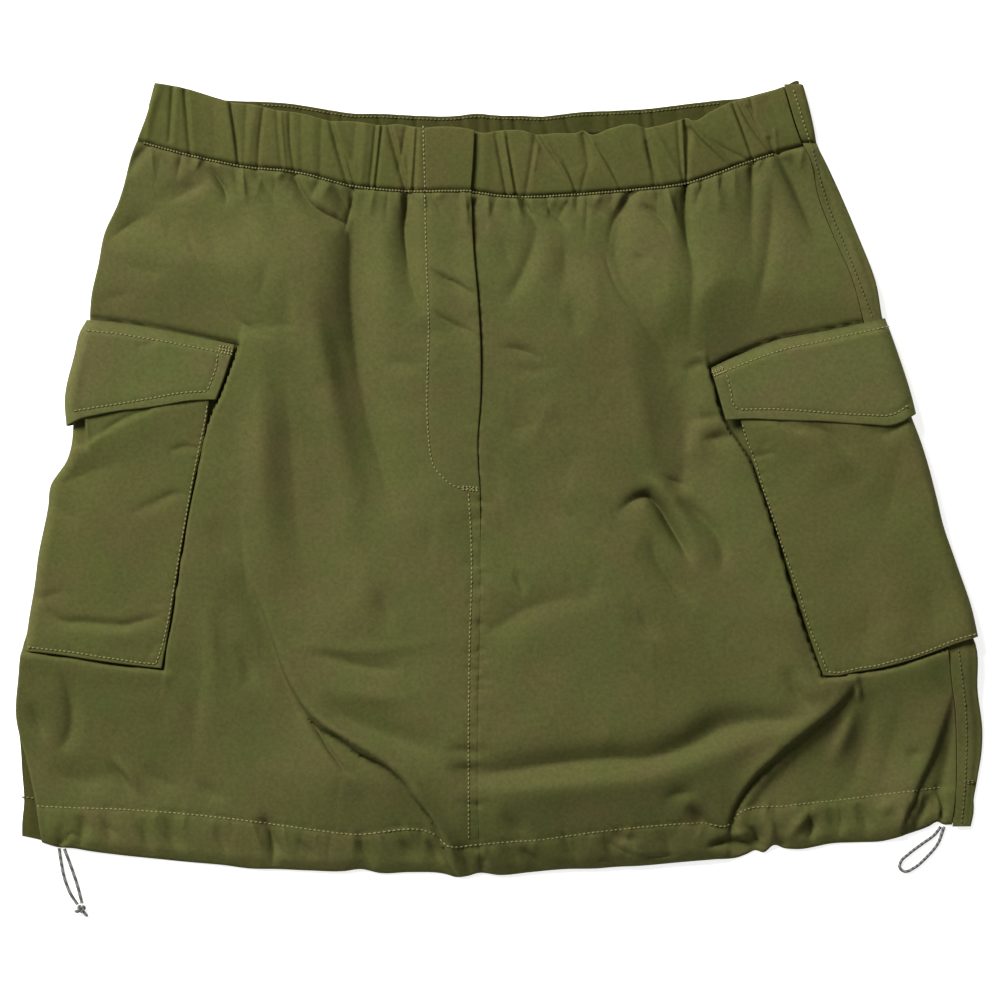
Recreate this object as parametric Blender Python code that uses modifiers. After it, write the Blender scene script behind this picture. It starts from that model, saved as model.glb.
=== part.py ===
"""Cargo utility skirt, lying flat on its back with its front up.

The skirt rests on z = 0, its waist towards +Y and its hem towards -Y. Tables are in millimetres, and
the names above a table are its columns. Every piece of cloth is a wall of its own, a small gap away
from the pieces that it is sewn to or lies on.
"""

import bpy
import bmesh
import numpy as np
from mathutils import Matrix

for old in list(bpy.data.objects):
    bpy.data.objects.remove(old, do_unlink=True)

skirt = bpy.data.collections.new("cargo_utility_skirt")
bpy.context.scene.collection.children.link(skirt)

MM = 0.001

# Cloth and the stack of layers, in millimetres. A piece lies GAP from the one under it, and SEAM_HALF from the
# line of a seam that it shares with another.
CLOTH = 1.0
BAND = 1.8
FLAP = 1.2
GAP = 0.3
SEAM_HALF = 0.25
BODY_GAP = 0.6
RIPPLE = 0.9
RAMP_CLEARANCE = 1.0
LEAF = 2 * CLOTH + GAP
POCKET_STACK = CLOTH + GAP + LEAF + GAP
UNDER_FLAP = FLAP + GAP
UNDER_FLAP_START = -10
UNDER_FLAP_RAMP = 22
LIFT = UNDER_FLAP + POCKET_STACK + GAP
FRONT_TOP = CLOTH + BODY_GAP + CLOTH
FACE_TOP = LIFT + RAMP_CLEARANCE + FRONT_TOP + POCKET_STACK
BAND_FRONT = RIPPLE + BAND + GAP
TAB_BASE = BAND_FRONT + RIPPLE + BAND + GAP
BAND_RISE = BAND_FRONT - CLOTH - BODY_GAP
BAND_RISE_REACH = 24

# Pockets
POCKET_WIDTH = 168
FLAP_WIDTH = 176
GUSSET_DEPTH = 12
GUSSET_INSET = 0.6
PLATEAU_MARGIN = 4
PLATEAU_RAMP = 60

# Fly, the waistband's tab, gathers and hem
UNDERLAP = 14
UNDERLAP_TURN = 6
OVERLAP_START = 36
OVERLAP_RAMP = 17
FLY_END = -3
FLY_RAMP_START = 30
FLY_RAMP = 20
TAB_START = -43.5
TAB_END = -15.4
TAB_TURN = 8
TAB_UNDERLAP = 26
FRONT_GATHER = 15
BACK_GATHER = 17
BACK_HEM_RISE = 2

# Drawcord
CORD = 1.8
CORD_HEIGHT = 0.92
CORD_SAMPLES = 22

# Outline of the body laid flat: y, x
LEFT_EDGE = ((-218, -249.5), (-201, -252.5), (-178, -255.8), (-155, -260.7), (-131, -266.2), (-112, -263),
             (-96, -255), (-57, -249.4), (-15, -242.6), (11, -232.6), (44, -229.6), (67, -225.6), (94, -224.5),
             (119, -220.6), (136, -217.3), (161, -207.4), (187, -199.7), (201, -194.2), (219, -189.8))
BACK_LEFT_EDGE = ((-218, -263), (-198, -263), (-170, -263.3), (-143, -265), (-131, -266.2), (-112, -263),
                  (-96, -255), (-57, -249.4), (-15, -242.6), (11, -232.6), (44, -229.6), (67, -225.6),
                  (94, -224.5), (119, -220.6), (136, -217.3), (161, -207.4), (187, -199.7), (219, -189.8))
RIGHT_EDGE = ((-218, 256), (-191, 258.5), (-174, 261.3), (-161, 263), (-140, 266.2), (-117, 263), (-86, 256.6),
              (-71, 253), (-45, 244.6), (-10, 234.2), (22, 225.6), (44, 217.8), (71, 210), (94, 208.6),
              (108, 206), (133, 198), (154, 189.2), (173, 180.4), (192, 173.3), (219, 166))
SIDE_SEAM = ((-218, 247), (-190, 249.2), (-166, 251.4), (-146, 251.4), (-126, 250.3), (-86, 243.6),
             (-45, 232), (-10, 221.5), (44, 206), (94, 196), (112, 193), (133, 184.3), (156, 175.5),
             (178, 170), (185, 166.7), (219, 155))
CENTRE_FRONT = ((-219, -10.5), (-176, -12.1), (-131, -12.1), (-85, -11), (-50, -10.5), (-7, -11), (20, -12.1),
                (45, -10.5), (73, -10.5), (101, -12.1), (126, -14.3), (156, -15.4), (193, -15.4))

# Upper and lower edges: x, y
WAIST_SEAM = ((-210, 188), (-200, 185.9), (-170, 178.2), (-142, 172.2), (-112, 168.9), (-80, 161.2), (-49, 158.4),
              (-16, 157.5), (0, 156.5), (44, 156.8), (70, 159), (102, 162.8), (140, 176), (151, 179.3), (175, 185.4))
FRONT_WAIST = ((-190, 218.4), (-179, 216.7), (-148, 207.4), (-123, 203), (-92, 196.9), (-66, 195.3), (-44, 193.6),
               (-15, 192.5), (0, 192), (42, 190.9), (75, 195.3), (102, 198.6), (126, 207.9), (156, 216.7), (165, 219))
BACK_WAIST = ((-190, 218.4), (-179, 216.7), (-154, 209.6), (-131, 208.5), (-95, 204.1), (-45, 200.8), (-2, 201.3),
              (47, 203), (81, 204.6), (133, 210.1), (156, 216.7), (165, 219))
HEM = ((-264, -199.5), (-252, -200.8), (-226, -204.6), (-188, -209), (-152, -212.3), (-86, -215.6), (-30, -217.3),
       (0, -217.8), (35, -214.5), (105, -210.1), (140, -204.1), (163, -203.5), (211, -199.1), (236, -190.3),
       (262, -191.4))
BACK_HEM = tuple((x, y + BACK_HEM_RISE) for x, y in HEM)

# Pockets and flaps laid flat: y, x of the outermost line, then of the line where the front half ends
FACE_SIDE = {"left": ((-94, -261.5), (-73, -258.5), (-57, -255.8), (-43, -254.1), (-15, -248.6), (-3, -247),
                      (11, -238), (28, -234.8), (44, -235.8), (67, -231)),
             "right": ((-86, 262.9), (-71, 259.6), (-45, 250.8), (-24, 243.7), (-10, 240.4), (21, 231.6),
                       (38, 225.2), (71, 215.8))}
FACE_FRONT = {"left": ((-103, -185.4), (-75, -180.4), (-40, -174.9), (-4, -168.3), (29, -161.2), (52, -158.4)),
              "right": ((-108, 182.6), (-84, 168.3), (-57, 159.5), (-32, 152.4), (-12, 145.8), (11, 137.5),
                        (32, 131.5), (44, 125.4))}
FLAP_SIDE = {"left": ((30, -238.4), (45, -239.3), (70, -233.8), (88, -229.4)),
             "right": ((38, 228.7), (47, 226.6), (71, 218.9), (89, 211.8))}
FLAP_FRONT = {"left": ((43, -155.5), (50, -152.5), (69, -145.2)),
              "right": ((32.5, 123.8), (40, 121.5), (61, 115.5))}

# Largest folds of the front, each a bent line: start x, y, bend x, y, end x, y, height at start, middle and end,
# reach to the left and to the right of the way that the fold runs
FOLDS = ((-147, -29, -131, -81, -101, -134, 0, 7, 4, 34, 9),
         (-101, -134, -53, -145, -24, -219, 4, 9, 9, 30, 6),
         (184, -122, 149, -148, 125, -194, 0, 8, 6, 7, 30),
         (8, -158, 77, -156, 146, -129, 0, -4.5, 0, 15, 15),
         (-81, 157, -96, 94, -63, -14, -2, -4, 0, 9, 10),
         (58, 136, 81, 53, 88, 0, 0, 4, 4, 14, 40),
         (102, 161, 104, 120, 103, 80, -1.5, -3, 0, 8, 8),
         (252, -100, 238, -150, 223, -188, 0, 3, 2, 9, 9),
         (-200, 120, -120, 60, -115, -20, 0, 3, 0, 30, 30))
DOME_HEIGHT = 5
DOME_CENTRE_X = -5
DOME_REACH_X = 120
DOME_CENTRE_Y = -30
DOME_REACH_Y = 170

# Routes of the drawcord on the floor, from the hem: x, y
CORDS = {"drawcord_left_outer": ((-243.1, -203), (-242, -210.5), (-239.8, -220.6), (-236.4, -228.8), (-232.9, -234)),
         "drawcord_left_inner": ((-240.2, -203.3), (-237, -211.8), (-232.9, -223.9), (-230.5, -233.4)),
         "drawcord_right": ((242.2, -191.2), (239.4, -195.4), (233.4, -200), (225.4, -206), (220.9, -210.4),
                            (220.3, -213.8), (223.2, -215.8), (228.2, -213.8), (235.2, -207.8), (241.2, -200.6),
                            (245.4, -191.2))}
KNOT_CENTRE = (-230.6, -236.2, 1.9)
KNOT_SIZE = (5.4, 4.6, 3.8)

# Fractions down the panels and the pockets, round a turned edge, and out from it
PANEL_ROWS = (0, 0.04, 0.08, 0.13, 0.18, 0.23, 0.28, 0.33, 0.38, 0.43, 0.45, 0.49, 0.53, 0.57, 0.61, 0.65, 0.69,
              0.73, 0.77, 0.81, 0.85, 0.89, 0.93, 0.97, 1)
LEG_ROWS = (0, 0.17, 0.33, 0.5, 0.67, 0.83)
FACE_ROWS = (*LEG_ROWS, 0.925, 1)
TURN = np.linspace(1, 2, 7)[1:-1]
HALF = np.linspace(0, 1, 6)

SHADES = {"body": (0.345, 0.352, 0.203), "band": (0.325, 0.330, 0.190), "pocket": (0.360, 0.362, 0.215),
          "flap": (0.370, 0.368, 0.222), "inside": (0.240, 0.240, 0.130), "cord": (0.235, 0.235, 0.225)}
ROUGHNESS = 0.85


def along(table, at):
    """Smooth curve through rows (place, value), each row's slope the mean one about it. at may be an array."""
    place, value = np.array(table, float).T
    slope = np.gradient(value, place)
    at = np.clip(at, place[0], place[-1])
    row = np.clip(np.searchsorted(place, at) - 1, 0, len(place) - 2)
    span = place[row + 1] - place[row]
    q = (at - place[row]) / span
    rise = value[row + 1] - value[row]
    bend = q * (1 - q)
    first = span * slope[row] - rise
    last = rise - span * slope[row + 1]
    return value[row] + q * rise + bend * ((1 - q) * first + q * last)


def ease(q):
    """0 below 0, 1 above 1, and an even S between."""
    q = np.clip(q, 0, 1)
    return q * q * (3 - 2 * q)


def even(count, start=0.0, end=1.0):
    return np.linspace(start, end, count + 1)


def bend_line(row):
    """Points of a fold's bent line, with its height at each: a curve of three control points."""
    x0, y0, x1, y1, x2, y2 = row[:6]
    t = even(40)
    x = (1 - t) ** 2 * x0 + 2 * t * (1 - t) * x1 + t ** 2 * x2
    y = (1 - t) ** 2 * y0 + 2 * t * (1 - t) * y1 + t ** 2 * y2
    return x, y, np.interp(t, (0, 0.5, 1), row[6:9])


def fold(row, x, y):
    """Height that one fold adds at x, y: its own height, fading each side of its line and past its ends."""
    line_x, line_y, height = bend_line(row)
    away_x = x[..., None] - line_x
    away_y = y[..., None] - line_y
    near = np.argmin(away_x ** 2 + away_y ** 2, axis=-1)
    away_x = np.take_along_axis(away_x, near[..., None], -1)[..., 0]
    away_y = np.take_along_axis(away_y, near[..., None], -1)[..., 0]
    run_x = np.gradient(line_x)[near]
    run_y = np.gradient(line_y)[near]
    on_left = run_x * away_y - run_y * away_x > 0
    reach = np.where(on_left, row[9], row[10])
    return height[near] * np.exp(-(away_x ** 2 + away_y ** 2) / reach ** 2)


def pocket_line(table, down):
    """x, y at a fraction down a pocket's side table."""
    y = table[-1][0] + down * (table[0][0] - table[-1][0])
    return along(table, y), y


def ways(side, side_tables, front_tables, down):
    """Outermost point, unit way inwards and the front half's width, at a fraction down a pocket or flap."""
    edge_x, edge_y = pocket_line(side_tables[side], down)
    front_x, front_y = pocket_line(front_tables[side], down)
    width = np.hypot(front_x - edge_x, front_y - edge_y)
    return edge_x, edge_y, (front_x - edge_x) / width, (front_y - edge_y) / width, width


def lift(x, y, height):
    """How far the body stands off the floor over the back halves of the pockets and flaps."""
    total = np.zeros_like(x)
    for side, sign in (("left", -1), ("right", 1)):
        inner = []
        for down in (0.0, 1.0):
            edge_x, edge_y, way_x, way_y, width = ways(side, FACE_SIDE, FACE_FRONT, np.float64(down))
            reach = max(width, POCKET_WIDTH - width) + PLATEAU_MARGIN
            inner.append((edge_x + way_x * reach, edge_y + way_y * reach))
        (top_x, top_y), (low_x, low_y) = inner
        limit = top_x + (y - top_y) * (low_x - top_x) / (low_y - top_y)
        edge_low = FACE_SIDE[side][0]
        slope = (low_y - edge_low[0]) / (low_x - edge_low[1])
        floor_y = edge_low[0] + (x - edge_low[1]) * slope - PLATEAU_MARGIN
        roof_y = FLAP_SIDE[side][-1][0] + PLATEAU_MARGIN
        across = ease(1 + sign * (x - limit) / PLATEAU_RAMP)
        above = ease(1 + (y - floor_y) / PLATEAU_RAMP)
        below = ease(1 + (roof_y - y) / PLATEAU_RAMP)
        total = total + height * across * above * below
    return total


def front_height(x, y):
    """Top of the front panels: the lift, a shallow dome and the folds, which fade out under the pockets."""
    dome_x = np.exp(-((x - DOME_CENTRE_X) / DOME_REACH_X) ** 4)
    dome_y = np.exp(-((y - DOME_CENTRE_Y) / DOME_REACH_Y) ** 4)
    folds = DOME_HEIGHT * dome_x * dome_y
    for row in FOLDS:
        folds = folds + fold(row, x, y)
    below_band = along(WAIST_SEAM, x) - y
    rise = BAND_RISE * np.exp(-(below_band / BAND_RISE_REACH) ** 2)
    folds = np.maximum(folds, 0) * (1 - lift(x, y, 1))
    return FRONT_TOP + lift(x, y, LIFT + RAMP_CLEARANCE) + rise + folds


def overlap_height(x, y):
    """How far the left front stands above the right one where it covers the underlap and meets the tab."""
    across = ease((x - along(CENTRE_FRONT, y) + OVERLAP_START) / OVERLAP_RAMP)
    down = ease((y - FLY_END + FLY_RAMP_START) / FLY_RAMP)
    at_tab = np.exp(-((along(WAIST_SEAM, x) - y) / BAND_RISE_REACH) ** 2)
    return across * down * (CLOTH + GAP + (TAB_BASE - BAND_FRONT - CLOTH - GAP) * at_tab)


def panel_grid(across, down, left, right, top, bottom):
    """x, y of a panel between two side tables and two edge tables, at fractions across and down."""
    y = along(top, 0 * across) * (1 - down) + along(bottom, 0 * across) * down
    for _ in range(6):
        x = left(y) + across * (right(y) - left(y))
        y = along(top, x) * (1 - down) + along(bottom, x) * down
    return left(y) + across * (right(y) - left(y)), y


def material(name, shade):
    """Cloth or cord of one colour, given as the share of white in sRGB and turned to linear."""
    made = bpy.data.materials.new(name)
    made.use_nodes = True
    shader = made.node_tree.nodes["Principled BSDF"]
    linear = [((part + 0.055) / 1.055) ** 2.4 for part in SHADES[shade]]
    shader.inputs["Base Color"].default_value = (*linear, 1)
    shader.inputs["Roughness"].default_value = ROUGHNESS
    shader.inputs["Metallic"].default_value = 0
    made.diffuse_color = (*linear, 1)
    return made


def add(name, shape, shade):
    """One named sub-part in the skirt's collection, from its mesh or curve, with its own material."""
    thing = bpy.data.objects.new(name, shape)
    shape.materials.append(material(name, shade))
    skirt.objects.link(thing)
    return thing


def cloth(name, columns, rows, shape, wall, shade, turned=False):
    """A wall of cloth: a grid whose columns and rows go to shape(across, down) on its outer side.

    shape takes arrays and gives x, y, z in millimetres. The wall is set inwards from there."""
    bm = bmesh.new()
    bmesh.ops.create_grid(bm, x_segments=len(columns) - 1, y_segments=len(rows) - 1, size=1)
    flat = np.array([vertex.co[:2] for vertex in bm.verts])
    low = flat.min(axis=0)
    step = (flat - low) / (flat.max(axis=0) - low)
    column = np.rint(step[:, 0] * (len(columns) - 1)).astype(int)
    row = np.rint((1 - step[:, 1]) * (len(rows) - 1)).astype(int)
    placed = np.stack(shape(np.asarray(columns)[column], np.asarray(rows)[row]), axis=1) * MM
    for vertex, place in zip(bm.verts, placed):
        vertex.co = place
    if turned:
        bmesh.ops.reverse_faces(bm, faces=bm.faces)
    mesh = bpy.data.meshes.new(name)
    bm.to_mesh(mesh)
    bm.free()
    mesh.shade_smooth()
    thing = add(name, mesh, shade)
    solidify = thing.modifiers.new("wall", "SOLIDIFY")
    solidify.thickness = wall * MM
    solidify.offset = -1
    solidify.use_even_offset = True
    solidify.use_quality_normals = True
    return thing


def ripple(x, pitch, shift):
    """Gathers of the waistband: a wave across x of uneven pitch, between 0 and RIPPLE."""
    phase = 2 * np.pi * (x / pitch + 0.35 * np.sin(x / (2.7 * pitch)) + shift)
    return RIPPLE * (0.5 + 0.5 * np.sin(phase))


def left_edge(y):
    return along(LEFT_EDGE, y)


def back_left_edge(y):
    return along(BACK_LEFT_EDGE, y)


def right_edge(y):
    return along(RIGHT_EDGE, y)


def side_seam(y):
    """The front's side of the right side seam."""
    return along(SIDE_SEAM, y) - SEAM_HALF


def centre_left(y):
    return along(CENTRE_FRONT, y) - SEAM_HALF


def centre_right(y):
    """The right front's inner edge: at the centre seam, and under the left front above the fly's end."""
    under = (UNDERLAP + SEAM_HALF) * ease((y - FLY_END) / UNDERLAP_TURN)
    return along(CENTRE_FRONT, y) + SEAM_HALF - under


def front_left_shape(across, down):
    x, y = panel_grid(across, down, left_edge, centre_left, WAIST_SEAM, HEM)
    y = y - SEAM_HALF * (down == 0)
    return x, y, front_height(x, y) + overlap_height(x, y)


def front_right_shape(across, down):
    x, y = panel_grid(across, down, centre_right, side_seam, WAIST_SEAM, HEM)
    y = y - SEAM_HALF * (down == 0)
    return x, y, front_height(x, y)


def turned_at_right(across, x, y, low, top):
    """x, z of a back piece. across runs to 1 beside the right edge, to 2 up round it and to 3 on to the side seam."""
    radius = (top - low) / 2
    turn = np.clip(across - 1, 0, 1) * np.pi
    past = np.clip(across - 2, 0, 1) * (right_edge(y) - side_seam(y) - 2 * SEAM_HALF - radius)
    turned = right_edge(y) - radius * (1 - np.sin(turn)) - past
    flat = np.minimum(x, right_edge(y) - radius * np.clip(across, 0, 1))
    return np.where(across >= 1, turned, flat), low + radius * (1 - np.cos(turn))


def back_shape(across, down):
    """The back panel: flat on the floor, lifted over the pockets, and turned up round the right side."""
    x, y = panel_grid(np.clip(across, 0, 1), down, back_left_edge, right_edge, WAIST_SEAM, BACK_HEM)
    below_band = along(WAIST_SEAM, x) - y
    rise = BAND_RISE * np.exp(-(below_band / BAND_RISE_REACH) ** 2)
    low = lift(x, y, LIFT)
    top = FRONT_TOP + lift(x, y, LIFT + RAMP_CLEARANCE) + rise
    x, z = turned_at_right(across, x, y, low, top)
    return x, y - 2 * SEAM_HALF * (down == 0), z


cloth("front_panel_left", even(15), PANEL_ROWS, front_left_shape, CLOTH, "body")
cloth("front_panel_right", even(15), PANEL_ROWS, front_right_shape, CLOTH, "body")
cloth("back_panel", (*even(20), *TURN, 2, 3), PANEL_ROWS, back_shape, CLOTH, "body", turned=True)


# The waistband: the back one lies lowest and turns up round the right side, the two front ones lie on it, and
# the left one ends in a flat tab over the end of the right one.

def tab_share(x):
    return ease((x - TAB_START + TAB_TURN) / TAB_TURN)


def left_band_shape(across, down):
    x, y = panel_grid(across, down, left_edge, lambda y: TAB_END + 0 * y, FRONT_WAIST, WAIST_SEAM)
    z = BAND_FRONT + (TAB_BASE - BAND_FRONT) * tab_share(x) + BAND
    return x, y + SEAM_HALF * (down == 1), z + ripple(x, FRONT_GATHER, 0.2) * (1 - tab_share(x))


def right_band_shape(across, down):
    x, y = panel_grid(across, down, lambda y: TAB_END - TAB_UNDERLAP + 0 * y, side_seam, FRONT_WAIST, WAIST_SEAM)
    z = BAND_FRONT + BAND + ripple(x, FRONT_GATHER, 0.2) * ease((x - TAB_END) / TAB_TURN)
    return x, y + SEAM_HALF * (down == 1), z


def back_band_shape(across, down):
    x, y = panel_grid(np.clip(across, 0, 1), down, left_edge, right_edge, BACK_WAIST, WAIST_SEAM)
    low = ripple(x, BACK_GATHER, 0.6) * ease((side_seam(y) - x) / BACK_GATHER)
    x, z = turned_at_right(across, x, y, low, BAND_FRONT + BAND)
    return x, y + SEAM_HALF * (down == 1), z


cloth("waistband_front_left", even(34), even(2), left_band_shape, BAND, "band")
cloth("waistband_front_right", even(34), even(2), right_band_shape, BAND, "band")
cloth("waistband_back", (*even(50), *TURN, 2, 3), even(2), back_band_shape, BAND, "band", turned=True)


# Pockets. Each face and flap is one piece wrapped round the side: its front half on the front, its back half
# under the back. Their rows run square to the side, so a place is a distance in from the outermost line.

def under_face(y):
    """The back half of the face lies on the floor below its flap and on the flap above."""
    return UNDER_FLAP * ease((y - UNDER_FLAP_START) / UNDER_FLAP_RAMP)


def turned_section(across, top, low, width, back_width):
    """Distance in from the edge and height, for across in 0-1 on top, 1-2 round the turn, 2-3 beneath."""
    radius = (top - low) / 2
    angle = np.clip(across - 1, 0, 1) * np.pi
    away = radius * (1 - np.sin(angle))
    away = away + np.clip(1 - across, 0, 1) * (width - radius)
    away = away + np.clip(across - 2, 0, 1) * (back_width - radius)
    return away, low + radius * (1 + np.cos(angle))


def wrap(side, tables, across, down, whole, top, low, within=0.0, short=0.0):
    """x, y, z round the side, on a surface within the piece that the tables outline and short of its free edges."""
    edge_x, edge_y, way_x, way_y, width = ways(side, *tables, down)
    less = within + short
    away, z = turned_section(across, top - within, low + within, width - less, whole - width - less)
    return edge_x + way_x * (away + within), edge_y + way_y * (away + within), z


def add_pocket(side):
    faces = (FACE_SIDE, FACE_FRONT)
    flaps = (FLAP_SIDE, FLAP_FRONT)

    def face_shape(across, down):
        edge_y = ways(side, *faces, down)[1]
        return wrap(side, faces, across, down, POCKET_WIDTH, FACE_TOP, under_face(edge_y))

    def flap_shape(across, down):
        return wrap(side, flaps, across, down, FLAP_WIDTH, FACE_TOP + GAP + FLAP, 0)

    around = (*HALF, *TURN, *(HALF + 2))
    cloth(f"pocket_face_{side}", around, FACE_ROWS, face_shape, CLOTH, "pocket", turned=side == "left")
    cloth(f"pocket_flap_{side}", around, even(3), flap_shape, FLAP, "flap", turned=side == "left")


def add_gusset(side):
    """A strip round three sides of the pocket, folded in half under the face's edge.

    Columns run down the front leg (0 to 1), round the bottom (1 to 4) and up the back leg (4 to 5). Rows run in
    along the outer leaf (0 to 1), round its fold (1 to 2) and back out along the inner leaf (2 to 3)."""
    faces = (FACE_SIDE, FACE_FRONT)
    height = FACE_SIDE[side][-1][0] - FACE_SIDE[side][0][0]

    def shape(run, depth):
        short = GUSSET_INSET + (GUSSET_DEPTH - GUSSET_INSET) * np.clip(np.minimum(depth, 3 - depth), 0, 1)
        within = CLOTH + GAP + LEAF * np.clip(depth - 1, 0, 1)
        down = np.minimum(np.minimum(run, 5 - run), 1 - short / height)
        low = under_face(ways(side, *faces, down)[1])
        return wrap(side, faces, np.clip(run - 1, 0, 3), down, POCKET_WIDTH, FACE_TOP, low, within, short)

    runs = (*LEG_ROWS, *(HALF + 1), *(TURN + 1), *(HALF + 3), *(5 - np.array(LEG_ROWS[::-1])))
    cloth(f"pocket_gusset_{side}", runs, (0, 1, 2, 3), shape, CLOTH, "inside", turned=side == "right")


for side in ("left", "right"):
    add_pocket(side)
    add_gusset(side)


# The drawcord: each stretch that shows, and the knot that ties the left one's ends.

def add_cord(name, route):
    points = np.array(route, float)
    step = np.concatenate([[0], np.cumsum(np.linalg.norm(np.diff(points, axis=0), axis=1))])
    at = even(CORD_SAMPLES, 0, step[-1])
    x, y = (along(np.stack([step, points[:, axis]], axis=1), at) for axis in range(2))
    line = bpy.data.curves.new(name, "CURVE")
    line.dimensions = "3D"
    line.bevel_depth = CORD / 2 * MM
    line.bevel_resolution = 2
    line.use_fill_caps = True
    spline = line.splines.new("POLY")
    spline.points.add(CORD_SAMPLES)
    for point, place_x, place_y in zip(spline.points, x, y):
        point.co = (place_x * MM, place_y * MM, CORD_HEIGHT * MM, 1)
    add(name, line, "cord")


for name, route in CORDS.items():
    add_cord(name, route)

knot_bm = bmesh.new()
bmesh.ops.create_icosphere(knot_bm, subdivisions=2, radius=0.5 * MM, matrix=Matrix.Diagonal((*KNOT_SIZE, 1)))
knot_mesh = bpy.data.meshes.new("drawcord_knot")
knot_bm.to_mesh(knot_mesh)
knot_bm.free()
knot_mesh.shade_smooth()
knot = add("drawcord_knot", knot_mesh, "cord")
knot.location = [part * MM for part in KNOT_CENTRE]
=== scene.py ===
"""Cargo utility skirt of olive cotton twill, laid flat on its back with its front up, in a plain studio.

Lengths in the tables are in millimetres, +Y towards the waist and +Z up from the floor. The words above a
table name its columns.
"""

import bpy
import numpy as np
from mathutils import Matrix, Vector


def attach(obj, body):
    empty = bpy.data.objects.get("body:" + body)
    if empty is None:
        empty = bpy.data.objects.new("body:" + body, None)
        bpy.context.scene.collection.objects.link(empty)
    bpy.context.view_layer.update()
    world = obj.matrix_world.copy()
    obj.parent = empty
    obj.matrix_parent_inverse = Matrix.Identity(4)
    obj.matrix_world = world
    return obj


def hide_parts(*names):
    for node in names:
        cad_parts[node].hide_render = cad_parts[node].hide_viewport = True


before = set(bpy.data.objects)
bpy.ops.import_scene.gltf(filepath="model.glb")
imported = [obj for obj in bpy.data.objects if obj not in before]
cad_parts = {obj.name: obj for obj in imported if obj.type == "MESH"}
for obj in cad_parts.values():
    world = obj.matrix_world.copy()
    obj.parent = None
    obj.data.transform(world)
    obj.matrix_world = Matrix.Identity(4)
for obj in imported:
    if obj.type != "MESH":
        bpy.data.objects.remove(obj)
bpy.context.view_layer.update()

MM = 0.001


# ------------------------------------------------------------ the room
# A light table of opal acrylic under a broad soft lamp that hangs high beyond the waist, in white
# surroundings, with the camera straight above the skirt. Lengths here are in metres.

CAMERA_HEIGHT = 2.2
VIEW_WIDTH = 0.55
VIEW_CENTRE_Y = -0.011
FOCUS_HEIGHT = 0.006
SENSOR = 36
LAMP_PLACE = (-2.5, 2.85, 3.0)
LAMP_SIDE = 1.8
LAMP_WATTS = 345
WALLS_STRENGTH = 0.16
FLOOR_GLOW = 0.75
FLOOR_GAP = 0.0002

camera_data = bpy.data.cameras.new("camera")
camera_data.sensor_width = SENSOR
camera_data.lens = SENSOR * (CAMERA_HEIGHT - FOCUS_HEIGHT) / VIEW_WIDTH
camera_data.clip_end = 20
camera = bpy.data.objects.new("camera", camera_data)
camera.location = (0, VIEW_CENTRE_Y, CAMERA_HEIGHT)
bpy.context.scene.collection.objects.link(camera)
bpy.context.scene.camera = camera

lamp_data = bpy.data.lights.new("softbox", "AREA")
lamp_data.shape = "RECTANGLE"
lamp_data.size = LAMP_SIDE
lamp_data.size_y = LAMP_SIDE
lamp_data.energy = LAMP_WATTS
lamp = bpy.data.objects.new("softbox", lamp_data)
lamp.location = LAMP_PLACE
lamp.rotation_euler = (-Vector(LAMP_PLACE)).to_track_quat("-Z", "Y").to_euler()
bpy.context.scene.collection.objects.link(lamp)

world = bpy.data.worlds.new("white studio")
world.use_nodes = True
world.node_tree.nodes["Background"].inputs["Color"].default_value = (1, 1, 1, 1)
world.node_tree.nodes["Background"].inputs["Strength"].default_value = WALLS_STRENGTH
bpy.context.scene.world = world
bpy.context.scene.view_settings.view_transform = "Standard"


def linear(hex_colour):
    """An sRGB hex colour as linear red, green, blue and 1."""
    parts = [int(hex_colour[at:at + 2], 16) / 255 for at in (0, 2, 4)]
    return (*(p / 12.92 if p <= 0.04045 else ((p + 0.055) / 1.055) ** 2.4 for p in parts), 1)


def node(tree, kind, settings=(), inputs=(), **links):
    """Adds a shader node with settings of its own, values for its inputs and links from other sockets."""
    made = tree.nodes.new("ShaderNode" + kind)
    for key, value in dict(settings).items():
        setattr(made, key, value)
    for key, value in dict(inputs).items():
        made.inputs[key].default_value = value
    for key, source in links.items():
        tree.links.new(source, made.inputs[key.replace("_", " ")])
    return made


def surface_material(name, **values):
    """A new material, its node tree and its Principled shader, whose values are given with _ for a space."""
    made = bpy.data.materials.new(name)
    made.use_nodes = True
    principled = made.node_tree.nodes["Principled BSDF"]
    for key, value in values.items():
        principled.inputs[key.replace("_", " ")].default_value = value
    return made, made.node_tree, principled


# The acrylic glows, so that it is white everywhere and drowns the skirt's shadow.
floor_paint, _, _ = surface_material(
    "opal acrylic lit from below", Base_Color=linear("fbfbfa"), Roughness=0.9, Specular_IOR_Level=0.1,
    Emission_Color=(1, 1, 1, 1), Emission_Strength=FLOOR_GLOW)
floor_mesh = bpy.data.meshes.new("floor")
floor_mesh.from_pydata([(-6, -6, 0), (6, -6, 0), (6, 6, 0), (-6, 6, 0)], [], [(0, 1, 2, 3)])
floor_mesh.materials.append(floor_paint)
floor = bpy.data.objects.new("floor", floor_mesh)
floor.location = (0, 0, -FLOOR_GAP)
bpy.context.scene.collection.objects.link(floor)


# ------------------------------------------------------------ the drawcord
# One thin braided elastic cord runs in the hem's casing. It leaves at each lower corner as a free loop, and
# at the left corner its two strands are tied in a small knot.

CORD = 1.8
CORD_HEIGHT = 0.92
CORD_SIDES = 10
KNOT_CORD = 0.82
CORD_STEP = 1.6
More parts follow.
